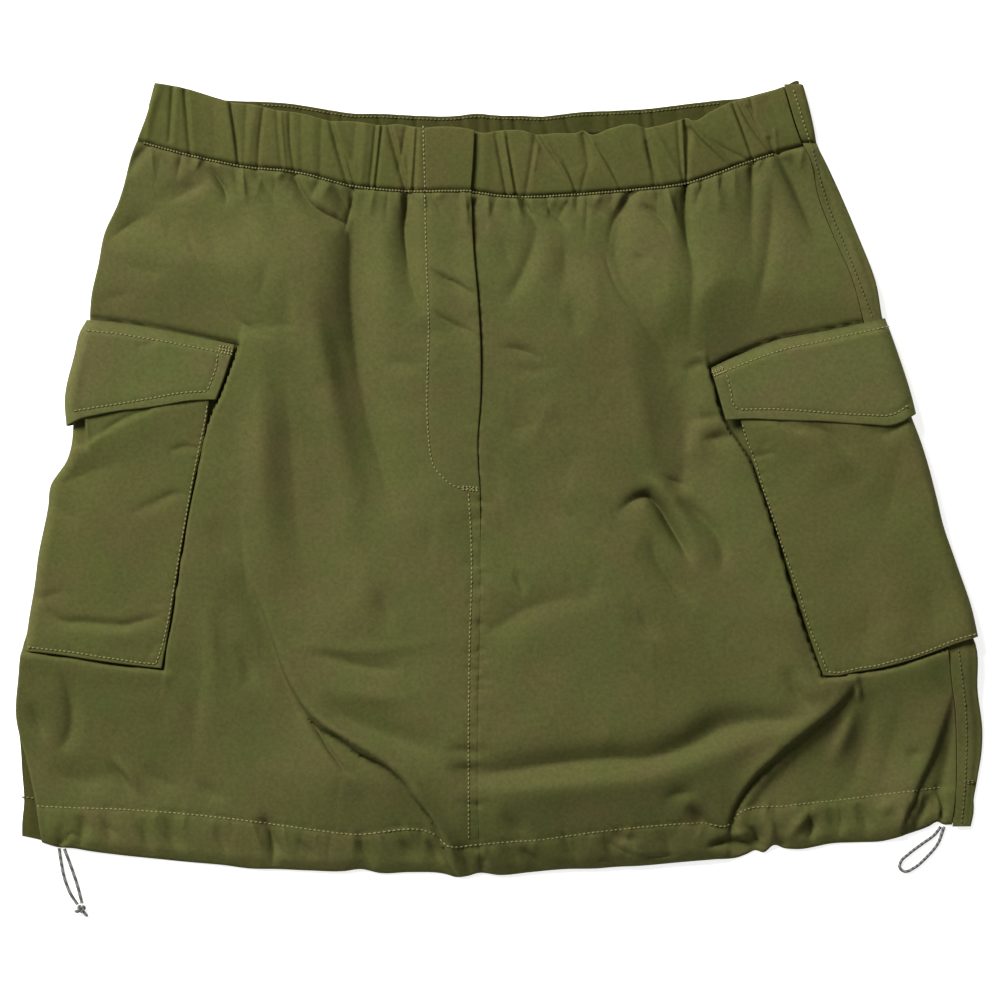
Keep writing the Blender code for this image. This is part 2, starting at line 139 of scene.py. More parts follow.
# x, y along the strands and the loop
LEFT_OUTER = ((-243.1, -203), (-242, -210.5), (-239.8, -220.6), (-236.4, -228.8), (-232.9, -234))
LEFT_INNER = ((-240.2, -203.3), (-237, -211.8), (-232.9, -223.9), (-230.5, -233.4))
RIGHT_LOOP = (
    (243, -191), (239.6, -195.4), (233.4, -200), (225.4, -206), (220.9, -210.4), (220.3, -213.8),
    (223.2, -215.8), (228.2, -213.8), (235.2, -207.8), (241.2, -200.6), (244.9, -191))
KNOT_CENTRE = (-230.6, -236.2, 1.95)
# x, y, z of the short ends that stand out of the knot
END_ROWS = (
    ((-231.5, -237.2, 2.2), (-233.2, -237.7, 2), (-234.6, -237.3, 1.2)),
    ((-229.6, -237.8, 2), (-228.3, -239.4, 1.6), (-227.3, -240.6, 1)))

# Braided polyester over rubber: charcoal, with the fine slanting ribs of the braid, 1 mm apart. Their crests
# are painted paler, a painted highlight for the little light they catch along the top.
braid, tree, shader = surface_material("charcoal braided elastic cord", Roughness=0.7)
place = node(tree, "TexCoord")
ribs = node(tree, "TexWave", {"wave_type": "BANDS", "bands_direction": "DIAGONAL"},
            {"Scale": 6 / (20 * CORD * MM), "Distortion": 1.5, "Detail": 1, "Detail Scale": 2},
            Vector=place.outputs["Object"])
# painted highlight: the ramp paints the ribs' crests paler than their hollows
shade = node(tree, "ValToRGB", (), (), Fac=ribs.outputs["Fac"])
shade.color_ramp.elements[0].color = linear("4c4c4a")
shade.color_ramp.elements[1].color = linear("8a8a85")
bump = node(tree, "Bump", (), {"Strength": 0.6, "Distance": 0.0002}, Height=ribs.outputs["Fac"])
tree.links.new(shade.outputs["Color"], shader.inputs["Base Color"])
tree.links.new(bump.outputs["Normal"], shader.inputs["Normal"])


def along(table, at):
    """Smooth curve through rows (place, value) at any places: each span is a cubic whose end slopes are the
    mean slopes about its rows."""
    place, value = np.array(table, float).T
    slope = np.gradient(value, place)
    at = np.clip(at, place[0], place[-1])
    row = np.clip(np.searchsorted(place, at) - 1, 0, len(place) - 2)
    span = place[row + 1] - place[row]
    q = (at - place[row]) / span
    rise = value[row + 1] - value[row]
    return value[row] + q * rise + q * (1 - q) * ((1 - q) * (span * slope[row] - rise)
                                                  + q * (rise - span * slope[row + 1]))


def smooth_path(points, step):
    """The rows of points, joined by cubics along their length in x and y and sampled every step."""
    points = np.array(points, float)
    far = np.concatenate([[0], np.cumsum(np.hypot(*np.diff(points[:, :2], axis=0).T))])
    at = np.linspace(0, far[-1], max(3, int(round(far[-1] / step)) + 1))
    return np.stack([along(np.stack([far, column], axis=1), at) for column in points.T], axis=1)


def cord_piece(name, route):
    """A round cord along the route on the floor. Gives the object, its start and its length in metres."""
    path = smooth_path(route, CORD_STEP)
    line = bpy.data.curves.new(name, "CURVE")
    line.dimensions = "3D"
    line.bevel_depth = CORD / 2 * MM
    line.bevel_resolution = 3
    line.use_fill_caps = True
    spline = line.splines.new("POLY")
    spline.points.add(len(path) - 1)
    places = np.column_stack([path * MM, np.full(len(path), CORD_HEIGHT * MM), np.ones(len(path))])
    spline.points.foreach_set("co", places.ravel())
    line.materials.append(braid)
    made = bpy.data.objects.new(name, line)
    bpy.context.scene.collection.objects.link(made)
    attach(made, "root")
    return made, places[0, :3], float(np.hypot(*np.diff(path, axis=0).T).sum()) * MM


def grid_faces(rows, columns, closed=False):
    """Quads of a grid of rows by columns points, its last column joined to its first if it is closed."""
    row, column = np.meshgrid(np.arange(rows - 1), np.arange(columns - (not closed)), indexing="ij")
    here = row * columns + column
    right = row * columns + (column + 1) % columns
    return np.stack([here, here + columns, right + columns, right], axis=-1).reshape(-1, 4)


def add_mesh(name, points, faces, material):
    """A mesh object from points in millimetres, an array of any shape with x, y, z last."""
    points = np.asarray(points, float).reshape(-1, 3) * MM
    mesh = bpy.data.meshes.new(name)
    mesh.from_pydata(points.tolist(), [], faces.tolist() if hasattr(faces, "tolist") else faces)
    mesh.shade_smooth()
    mesh.materials.append(material)
    made = bpy.data.objects.new(name, mesh)
    bpy.context.scene.collection.objects.link(made)
    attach(made, "root")
    return made


def tube(path, run, radius):
    """Rings of points round a path that goes the way run, each ring square to the path."""
    run = run / np.linalg.norm(run, axis=1, keepdims=True)
    side = np.cross(run, (0, 0, 1.0))
    side /= np.linalg.norm(side, axis=1, keepdims=True)
    up = np.cross(side, run)
    turn = np.linspace(0, 2 * np.pi, CORD_SIDES, endpoint=False)[None, :, None]
    ring = np.cos(turn) * side[:, None] + np.sin(turn) * up[:, None]
    return path[:, None] + np.reshape(radius, (-1, 1, 1)) * ring


def knot_points():
    """An overhand knot: a tube round a flattened trefoil, (sin t + 2 sin 2t, cos t - 2 cos 2t, -sin 3t)."""
    t = np.linspace(0, 2 * np.pi, 72, endpoint=False)
    path = np.stack([0.62 * (np.sin(t) + 2 * np.sin(2 * t)), 0.55 * (np.cos(t) - 2 * np.cos(2 * t)),
                     0.75 * -np.sin(3 * t)], axis=1) + KNOT_CENTRE
    return tube(path, np.roll(path, -1, axis=0) - np.roll(path, 1, axis=0), KNOT_CORD)


knot_rings = knot_points()
knot_faces = grid_faces(len(knot_rings) + 1, CORD_SIDES, closed=True) % (len(knot_rings) * CORD_SIDES)
knot = add_mesh("drawcord_left_knot", knot_rings, knot_faces[:, ::-1], braid)
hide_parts("drawcord_knot")
for number, row in enumerate(END_ROWS, 1):
    path = smooth_path(row, 0.4)
    thick = CORD / 2 * np.sqrt(np.clip(1 - np.linspace(-0.3, 1, len(path)) ** 6, 0.02, 1))
    last = len(path) * CORD_SIDES - 1
    caps = [list(range(CORD_SIDES)), list(range(last, last - CORD_SIDES, -1))]
    faces = grid_faces(len(path), CORD_SIDES, closed=True)[:, ::-1].tolist() + caps
    rings = tube(path, np.gradient(path, axis=0), thick)
    add_mesh(f"drawcord_left_end_{number}", rings, faces, braid)

outer, outer_start, outer_length = cord_piece("drawcord_left_outer_strand", LEFT_OUTER)
inner, inner_start, inner_length = cord_piece("drawcord_left_inner_strand", LEFT_INNER)
loop, loop_start, loop_length = cord_piece("drawcord_right_loop", RIGHT_LOOP)
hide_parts("drawcord_left_outer")
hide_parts("drawcord_left_inner")
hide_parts("drawcord_right")


# ------------------------------------------------------------ the back
# The back panel is one piece of twill. It lies flat on the floor, rises over the backs of the pockets, and
# turns up round the right side to the side seam, where it is sewn to the right front.

CLOTH = 0.55
BACK_TOP = 2.6
LIFT = 6.7
BACK_LIFT = 5.7
RAMP = 60
BAND_RISE = 1.4
BAND_REACH = 24
NARROWEST = 0.5
# y, x up each side and seam
LEFT_EDGE = (
    (-218.9, -250.8), (-200.8, -252.5), (-178.2, -255.8), (-154.6, -260.7), (-130.9, -266.2),
    (-108.4, -264.6), (-94.1, -262.9), (-71.5, -256.3), (-55, -254.7), (-22, -249.2), (0, -242),
    (22, -232.7), (45.1, -229.4), (69.9, -225.8), (87.5, -225.5), (101.2, -224.4), (118.8, -220.6),
    (136.4, -217.3), (152.4, -210.1), (160.6, -207.4), (178.2, -203), (187, -199.7), (201.3, -194.2),
    (218.4, -189.8))
BACK_LEFT_EDGE = ((-218.9, -263.5), (-199.1, -263.5), (-190.3, -263.5), (-177.7, -262.4), (-160.6, -263.5),
                  (-143, -264.6), *LEFT_EDGE[4:])
RIGHT_EDGE = (
    (-218.9, 257.4), (-192, 259.3), (-182.6, 261.2), (-174.9, 261.2), (-170.5, 262.1), (-159.5, 264),
    (-150.7, 265.4), (-139.2, 265.9), (-116.6, 262.9), (-88, 260.7), (-77, 255.2), (-45.1, 245.3),
    (-9.9, 235.4), (21.5, 226.6), (44, 218.4), (71, 214.5), (89.1, 210.1), (108.4, 206.8), (132.6, 198),
    (154, 189.2), (173.2, 180.4), (185.9, 174.4), (192.5, 173.2), (209, 169.4), (216.7, 167.2))
SIDE_SEAM = (
    (-218.9, 247.5), (-189.8, 249.2), (-165.6, 251.4), (-145.8, 251.4), (-126, 250.3), (-110.6, 248.1),
    (-92.4, 245.9), (-77, 242), (-44, 233.8), (11, 220), (71, 203.5), (89.1, 199.1), (111.7, 193.1),
    (132.6, 184.3), (155.7, 175.5), (178.2, 170), (184.8, 166.7), (216.7, 156.2))
# x, y along each seam and edge
WAIST_SEAM = (
    (-210.1, 190.3), (-196.4, 185.4), (-170, 178.2), (-141.9, 172.2), (-111.7, 168.9), (-80.3, 161.2),
    (-49, 158.4), (-17.1, 158.4), (0, 155.9), (44, 156.8), (70.4, 159), (101.8, 162.8), (140.2, 176),
    (150.7, 179.3), (173.8, 185.4))
HEM_EDGE = (
    (-266.2, -196.9), (-262.9, -197.5), (-253, -199.7), (-243.7, -202.4), (-235.4, -203), (-226.1, -204.6),
    (-209, -206.8), (-187.6, -209), (-170.5, -210.7), (-152.4, -212.3), (-137.5, -214.2), (-122.7, -214.5),
    (-104.5, -215.3), (-85.8, -215.6), (-77, -214.5), (-66, -216.7), (-49.5, -216.2), (-29.7, -217.3),
    (-24.2, -218.9), (-18.2, -218.4), (-12.1, -216.7), (0, -217.8), (16.5, -216.2), (35.2, -214.5),
    (55, -214), (61.6, -213.4), (77, -212.6), (105.1, -210.1), (118.3, -209), (131.5, -207.9), (137, -205.7),
    (140.2, -204.1), (145.8, -205.2), (150.7, -201.3), (156.8, -203), (163.4, -203.5), (184.3, -200.2),
    (198, -199.7), (210.7, -199.1), (226.1, -194.7), (236.5, -190.9), (241.5, -188.4), (244.2, -189.8),
    (249.2, -190), (259.1, -192), (269.5, -193.1))
# pocket side: inner top corner, inner low corner, low edge point, roof y
PLATEAUS = (((-135, 47), (-167, -105), (-261.5, -94), 92), ((122, 43), (177, -109), (263, -86), 93))


def ease(q):
    """0 below 0, 1 above 1, and an even S between."""
    q = np.clip(q, 0, 1)
    return q * q * (3 - 2 * q)


def over_pockets(x, y):
    """1 where the cloth lies over the back of a pocket, easing to 0 beyond that back's edges."""
    total = np.zeros_like(x)
    for (top_x, top_y), (low_x, low_y), (edge_x, edge_y), roof in PLATEAUS:
        inward = np.sign(low_x)
        limit = top_x + (y - top_y) * (low_x - top_x) / (low_y - top_y)
        floor_y = edge_y + (x - edge_x) * (low_y - edge_y) / (low_x - edge_x) - 4
        across = ease(1 + inward * (x - limit) / RAMP)
        total = total + across * ease(1 + (y - floor_y) / RAMP) * ease(1 + (roof - y) / RAMP)
    return total


def band_rise(x, y):
    """How far the cloth rises to meet the waistband: a bell above the floor, widest at the seam."""
    return BAND_RISE * np.exp(-((along(WAIST_SEAM, x) - y) / BAND_REACH) ** 2)


def nearest(x, y, path, reach):
    """For the points that may lie within reach of a path: their mask, the row where the path's nearest span
    starts, the share of that span, how far off the path they are in x and y, and if that is on its left."""
    low, high = path[:, :2].min(axis=0) - reach, path[:, :2].max(axis=0) + reach
    near = (x > low[0]) & (x < high[0]) & (y > low[1]) & (y < high[1])
    away_x = x[near][:, None] - path[:-1, 0]
    away_y = y[near][:, None] - path[:-1, 1]
    run_x, run_y = np.diff(path[:, :2], axis=0).T
    t = np.clip((away_x * run_x + away_y * run_y) / np.maximum(run_x ** 2 + run_y ** 2, 1e-9), 0, 1)
    off_x, off_y = away_x - t * run_x, away_y - t * run_y
    row = np.argmin(off_x ** 2 + off_y ** 2, axis=1)
    t, off_x, off_y = (np.take_along_axis(part, row[:, None], 1)[:, 0] for part in (t, off_x, off_y))
    return near, row, t, off_x, off_y, run_x[row] * off_y - run_y[row] * off_x > 0


def full_rows(rows):
    """Rows x, y, height, reach on the left, reach on the right, from rows that give one reach where the two
    are alike, none where they are those of the row before, and then no height either where it is 0."""
    reaches, full = [], []
    for x, y, *given in rows:
        reaches = (given[1:] * 2)[:2] or reaches
        full.append((x, y, *(given[:1] or [0]), *reaches))
    return full


def crease_field(x, y, rows):
    """Height that creases give at x, y. Each crease is a path of rows for full_rows. Away from the nearest
    place on the path a ridge fades as a bell of that side's reach. A valley is creased along its bottom: it
    fades as the cube of 1 - distance / (3 reach), but as a bell on a side with much the longer reach."""
    height = np.zeros_like(x)
    for row in rows:
        path = smooth_path(full_rows(row), 3.0 if len(row) > 2 else 4.0)
        path[:, 3:] = np.maximum(path[:, 3:], NARROWEST)
        near, at, t, off_x, off_y, on_left = nearest(x, y, path, 3 * path[:, 3:].max())
        far = off_x ** 2 + off_y ** 2
        rise, left, right = ((1 - t) * path[at, column] + t * path[at + 1, column] for column in (2, 3, 4))
        reach, other = np.where(on_left, (left, right), (right, left))
        sharp = np.clip(1 - (np.sqrt(far + 0.09) - 0.3) / (3 * reach), 0, 1) ** 3
        soft = np.where(rise < 0, ease((reach / other - 1.1) / 0.5), 1)
        height[near] += rise * (sharp + soft * (np.exp(-far / reach ** 2) - sharp))
    return height


def drawn_in(x, y, rows, hold, reach=3.0):
    """Grid places moved towards the creases beside them, from distance d to d (d / reach)^0.8, so that the
    bottoms of the creases are finely meshed. hold is 0 where places must stay."""
    x, y = x.copy(), y.copy()
    for row in rows:
        path = smooth_path([place[:2] for place in row], 3.0)
        near, at, t, off_x, off_y, _ = nearest(x, y, path, reach)
        end = (at + t) / (len(path) - 1)
        far = np.clip(np.hypot(off_x, off_y) / reach, 0, 1)
        share = (1 - far ** 0.8) * ease(8 * np.minimum(end, 1 - end)) * hold[near]
        x[near] -= share * off_x
        y[near] -= share * off_y
    return x, y


def undulation(x, y, seed=3):
    """The cloth's slight unevenness: a sum of 16 sine waves, 18 to 90 mm long, of seeded ways and phases and
    of heights that grow with their lengths."""
    pick = np.random.default_rng(seed)
    total = np.zeros_like(x)
    for length in np.geomspace(18, 90, 16):
        turn, phase = pick.uniform(0, 2 * np.pi, 2)
        along_wave = x * np.cos(turn) + y * np.sin(turn)
        total = total + np.sin(2 * np.pi * along_wave / length + phase) * (length / 60)
    return total / 6


def panel_grid(across, down, left, right, top, bottom):
    """x, y between two side tables (y, x) and two edge tables (x, y), at fractions across and down."""
    y = along(top, 0 * across) * (1 - down) + along(bottom, 0 * across) * down
    for _ in range(7):
        x = along(left, y) + across * (along(right, y) - along(left, y))
        y = along(top, x) * (1 - down) + along(bottom, x) * down
    return x, y


def fractions(length, step, fine, near_start=True, near_end=True):
    """Fractions of a length at that step, with closer ones over the last fine mm at the chosen ends."""
    middle = np.linspace(0, 1, int(round(length / step)) + 1)
    close = np.array([0.25, 0.6, 1.1, 1.8, 2.6]) * fine / 2.6 / length
    parts = [middle]
    if near_start:
        parts = [part[(part == 0) | (part > close[-1] * 1.2)] for part in parts] + [close]
    if near_end:
        parts = [part[(part == 1) | (part < 1 - close[-1] * 1.2)] for part in parts] + [1 - close]
    return np.unique(np.concatenate(parts))


def rolled(away, radius):
    """How far the surface has dropped at a distance in from its edge: a quarter circle of that radius."""
    inside = np.clip(1 - away / radius, 0, 1)
    return radius * (1 - np.sqrt(np.maximum(1 - inside ** 2, 0)))


def cloth_piece(name, points, node_name, material, wall=CLOTH, turned=False):
    """A thin shell from a grid of points of its outer side, for the CAD piece node_name."""
    faces = grid_faces(*points.shape[:2])
    made = add_mesh(name, points, faces[:, ::-1] if turned else faces, material)
    shell = made.modifiers.new("wall", "SOLIDIFY")
    shell.thickness = wall * MM
    shell.offset = -1
    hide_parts(node_name)
    return made


# Cotton and nylon twill, piece-dyed: olive drab that wanders between green and brown, with a fine diagonal
# rib and a dull face. The real rib is 0.45 mm apart; it is drawn 0.8 mm apart, so that it shows.
RIB = 0.8
RIB_TURN = 0.96
RIB_DEPTH = 0.06
CLOUD = 30
SLUB = 2.2


def twill(name, green, brown, dark, seed):
    """A twill: green and brown mixed by clouds of noise, darkened by slubs, and bumped by rib and slubs."""
    made, tree, shader = surface_material(name, Roughness=0.75, Specular_IOR_Level=0.04)
    place = node(tree, "TexCoord").outputs["Object"]
    shift = node(tree, "Mapping", (), {"Location": (seed * 0.37, seed * 0.11, 0)}, Vector=place)
    clouds = node(tree, "TexNoise", (), {"Scale": 1 / (CLOUD * MM), "Detail": 3, "Roughness": 0.55},
                  Vector=shift.outputs["Vector"])
    spread = node(tree, "MapRange", (), {"From Min": 0.3, "From Max": 0.7},
                  Value=clouds.outputs["Fac"])
    dye = node(tree, "Mix", {"data_type": "RGBA"}, (), Factor=spread.outputs["Result"])
    dye.inputs[6].default_value = linear(green)
    dye.inputs[7].default_value = linear(brown)
    slubs = node(tree, "TexNoise", (), {"Scale": 1 / (SLUB * MM), "Detail": 4, "Roughness": 0.7},
                 Vector=place)
    grain = node(tree, "MapRange", (), {"From Min": 0.3, "From Max": 0.7, "To Max": 0.42},
                 Value=slubs.outputs["Fac"])
    tone = node(tree, "Mix", {"data_type": "RGBA"}, (), Factor=grain.outputs["Result"])
    tree.links.new(dye.outputs[2], tone.inputs[6])
    tone.inputs[7].default_value = linear(dark)
    turned_place = node(tree, "Mapping", (), {"Rotation": (0, 0, RIB_TURN)}, Vector=place)
    rib = node(tree, "TexWave", {"wave_type": "BANDS", "bands_direction": "X"},
               {"Scale": 2 * np.pi / (20 * RIB * MM), "Distortion": 0.8, "Detail": 2, "Detail Scale": 1.5},
               Vector=turned_place.outputs["Vector"])
    height = node(tree, "Math", {"operation": "ADD"})
    tree.links.new(rib.outputs["Fac"], height.inputs[0])
    tree.links.new(slubs.outputs["Fac"], height.inputs[1])
    bump = node(tree, "Bump", (), {"Strength": 0.4, "Distance": RIB_DEPTH * MM},
                Height=height.outputs["Value"])
    tree.links.new(tone.outputs[2], shader.inputs["Base Color"])
    tree.links.new(bump.outputs["Normal"], shader.inputs["Normal"])
    return made


body_cloth = twill("olive drab cotton twill", "5c6032", "635e38", "363a1e", 1)
# The wrong side of the twill is duller and darker, and it is painted darker still as painted shade, for the
# recessed insides of the back panel and back band.
wrong_side_and_shade = twill("wrong side of the twill and painted shade", "484b22", "4d4926", "282b13", 6)

# Polyester topstitching thread, paler than the cloth. Each stitch is painted dark towards its ends, a painted
# shade for the needle hole it dives into. Each row also paints its stitches part way dark all along, by a
# level given for the row, as more painted shade.
thread, tree, shader = surface_material("pale olive topstitching thread", Roughness=0.6,
                                        Specular_IOR_Level=0.2)
hole_shade = node(tree, "Attribute", {"attribute_name": "hole_shade"})
shade = node(tree, "Mix", {"data_type": "RGBA"}, (), Factor=hole_shade.outputs["Fac"])
shade.inputs[6].default_value = linear("a19c62")
shade.inputs[7].default_value = linear("1e200d")
tree.links.new(shade.outputs[2], shader.inputs["Base Color"])
STITCH_PITCH = 2.5
STITCH_RADIUS = 0.42
STITCH_ARCH = 0.3


def ditch(path, depth=0.3, reach=1.3):
    """The crease that a row of stitches pulls into the cloth."""
    return tuple((x, y, -depth, reach) for x, y in path)


def stitching(name, slot, height, *paths, pitch=STITCH_PITCH, thick=STITCH_RADIUS, stitch_shade=0.2):
    """Rows of stitches along paths of x, y on the surface height(x, y). A stitch is a tube that arches over
    nine tenths of its pitch and thins to its ends. Its painted shade, an attribute, rises from the row's
    given level to 1 at its ends, so that the thread is painted dark towards its needle holes."""
    steps, turn = np.linspace(-1, 1, 5), np.linspace(0, 2 * np.pi, 6, endpoint=False)
    middles, halves = [], []
    for path in paths:
        path = smooth_path(path, pitch)
        middles.append((path[1:] + path[:-1]) / 2)
        halves.append((path[1:] - path[:-1]) * 0.45)
    middle, half = np.concatenate(middles), np.concatenate(halves)
    place = middle[:, None] + steps[:, None] * half[:, None]
    side = np.stack([-half[:, 1], half[:, 0]], axis=1) / np.linalg.norm(half, axis=1, keepdims=True)
    radius = thick * np.sqrt(1.3 - steps ** 2)[:, None]
    z = height(place[..., 0], place[..., 1]) + STITCH_ARCH * (1 - steps ** 2)
    points = np.empty((len(middle), 5, 6, 3))
    points[..., :2] = place[:, :, None] + (radius * np.cos(turn))[..., None] * side[:, None, None]
    points[..., 2] = z[..., None] + 0.8 * radius * np.sin(turn)
    ends = [[0, 1, 2, 3], [0, 3, 4, 5], [27, 26, 25, 24], [29, 28, 27, 24]]
    one = np.concatenate([grid_faces(5, 6, closed=True)[:, ::-1], ends])
    faces = (one + 30 * np.arange(len(middle))[:, None, None]).reshape(-1, 4)
    made = add_mesh(name, points, faces, thread)
    # painted shade: fully dark at each stitch's ends, the row's given level in its middle
    values = np.broadcast_to((stitch_shade + (1 - stitch_shade) * steps ** 2)[:, None], points.shape[:3])
    made.data.attributes.new("hole_shade", "FLOAT", "POINT").data.foreach_set("value", values.ravel())
    return made


# x, y, height and reaches of small folds beside the side seam, as full_rows reads them
STRIP_CREASES = (
    ((169.4, 177.1, 0, 2), (179.3, 160.6, -1.0, 2.2, 2.6), (185.9, 146.3, 0, 2)),
    ((188.1, 145.2, 0, 2), (196.9, 119.9, 0.7, 2, 3), (202.4, 103.4, 0, 2)),
    ((253, -99, 0, 3), (258.5, -132, 0.8), (259.6, -165)))


def strip_puckers(seed=3):
    """Seeded short folds outwards from the side seam, 6.5 mm apart below the pocket and 9 mm above it."""
    pick = np.random.default_rng(seed)
    rows = []
    for y in np.concatenate([np.arange(-186, -88, 6.5), np.arange(90, 172, 9)]):
        x, at, tall = float(along(SIDE_SEAM, y)) + 3, y + pick.uniform(-2, 2), pick.uniform(-0.8, 0.5)
        rows.append(((x, at, 0, 0.9), (x + 5, at + pick.uniform(-1, 2), tall, 1, 1.4), (x + 10, at, 0, 0.9)))
    return tuple(rows)


strip_creases = STRIP_CREASES + strip_puckers()


def strip_height(x, y):
    """Top of the back panel's turned strip, with its small folds."""
    return (BACK_TOP + 0.8 + LIFT * over_pockets(x, y) + band_rise(x, y) + 0.35 * undulation(x * 2, y * 2, 5)
            + crease_field(x, y, strip_creases))


def back_points(across, down):
    """The back panel's outer side. across runs to 1 at the floor's right edge, to 2 up round the turn, and
    to 3 on to the side seam; the turn is half a circle as tall as the stack there."""
    x, y = panel_grid(np.clip(across, 0, 1), down, BACK_LEFT_EDGE, RIGHT_EDGE, WAIST_SEAM, HEM_EDGE)
    y = y + 1.2 * down ** 30
    over = over_pockets(x, y)
    low = BACK_LIFT * over
    top = BACK_TOP + LIFT * over + band_rise(x, y)
    radius = (top - low) / 2
    turn = np.clip(across - 1, 0, 1) * np.pi
    edge = along(RIGHT_EDGE, y)
    past = np.clip(across - 2, 0, 1) * (edge - along(SIDE_SEAM, y) - 0.15 - radius)
    turned = edge - radius * (1 - np.sin(turn)) - past
    flat = np.minimum(x, edge - radius * np.clip(across, 0, 1))
    x = np.where(across >= 1, turned, flat)
    z = low + radius * (1 - np.cos(turn))
    strip = np.clip(across - 2, 0, 1)
    z = z + ease(strip * 3) * (strip_height(x, y) - top)
    return np.stack([x, y, z], axis=-1)


def run_on(first, *others):
    """Grid places that run on from one array to the next, each of which starts where the one before ends."""
    return np.concatenate([first, *(other[1:] for other in others)])


back_across = run_on(np.linspace(0, 1, 120), np.linspace(1, 2, 12), np.linspace(2, 3, 18))
back_down = fractions(385, 4, 3, near_start=False)
back_grid = back_points(*np.meshgrid(back_across, back_down))
back = cloth_piece("back_panel_cloth", back_grid, "back_panel", body_cloth, turned=True)
# The back panel's inner side takes the darker wrong side: partly the twill's own duller face, partly painted
# shade.
back.data.materials.append(wrong_side_and_shade)
back.modifiers["wall"].material_offset = 1
SEAM_STITCHES = (
    ((171.9, 182.6), (174.1, 173.8), (181, 150.2), (190.3, 127.1), (198, 106.7), (204.6, 89.1)),
    ((251.7, -92.4), (253.6, -107), (255.8, -123.8), (256.9, -140.2), (256.3, -162.2), (255.2, -179.3),
     (254.1, -189.2)),
    ((254.7, -166.7), (261.2, -165.3)),
    ((254.7, -167.8), (261.2, -166.4)))
stitching("side_seam_stitching", "body", strip_height, *SEAM_STITCHES, stitch_shade=0.6)
BACK_HEM_STITCHES = ((-264, -174.7), (-254.1, -175.7))
stitching("back_hem_stitching", "body", lambda x, y: CLOTH + 0 * x, BACK_HEM_STITCHES, stitch_shade=0.5)


# ------------------------------------------------------------ the front
# Two fronts of the same twill, joined down the middle. The left one laps over the right as a fly facing, and
# both are gathered into the waistband and puff up in the middle, with soft folds that fall towards the hem.

FRONT_TOP = 2.6
FLY_LOW = -3
UNDERLAP = 14
DOME = 12
TALLEST = 24.2
LOWEST = 0.9
BODY_GAIN = 1.7
HEM_GAIN = 0.6
VALLEY_FLOOR = 1.3
DEEPEST = -1.6
EASE_IN = 1.5
GUSSET_ROOM = 8.6
# the fronts' grids: size, step along the waist and down the sides
LEFT_WIDE = (225, 1.2)
RIGHT_WIDE = (238, 1.25)
LONG = (385, 1.65)
# y, x of the middle seam and, above it, of the fly's free edge
CENTRE = (
    (-225.5, -9.9), (-214.5, -10.5), (-176, -12.1), (-130.9, -12.1), (-85.2, -11), (-50.1, -10.5),
    (-6.6, -11), (19.8, -12.1), (45.1, -10.5), (73.2, -10.5), (101.2, -12.1), (126, -14.3), (155.7, -15.4),
    (159, -15.4))
# y, x of the lower puff's edges, then y and its height, then y, x of the line beyond which the dome sinks
PUFF_LEFT = (
    (-223.3, -23.1), (-217.8, -23.8), (-211.2, -27.2), (-203, -29.9), (-194.7, -33.3), (-188.1, -36),
    (-181.4, -40.7), (-173.8, -47.4), (-165.2, -52.8), (-159.8, -58.3), (-155.9, -63.6), (-153.2, -69),
    (-150.4, -75.7), (-145.8, -82.5), (-140.8, -89.1), (-138.1, -94.6), (-134.5, -100.1), (-129.6, -105.1),
    (-121.6, -110.6), (-112.8, -115.5), (-103.4, -119.5), (-92.4, -123.5), (-82, -127.6), (-71, -131.5),
    (-61.6, -135.9), (-48.4, -138.1), (-11, -141.4), (22, -143))
PUFF_RIGHT = (
    (-222.2, 124.9), (-203.5, 124.9), (-188.1, 126.5), (-176, 130.9), (-165, 138.6), (-151.8, 152.4),
    (-140.2, 166.7), (-123.8, 185.9), (-99, 200.2), (-77, 211.2), (-44, 220), (0, 222.8))
PUFF_HEIGHT = (
    (-222, 0), (-214, 1), (-204, 3.4), (-190, 5), (-165, 5.2), (-140, 5), (-110, 4), (-60, 2.6), (-25, 0.8),
    (0, 0))
UPPER_RIGHT = (
    (-44, 90.2), (-16.5, 90.2), (0, 86.4), (16.5, 80.9), (44, 75.4), (60.5, 73.2), (82.5, 67.1), (110, 55),
    (154, 33))
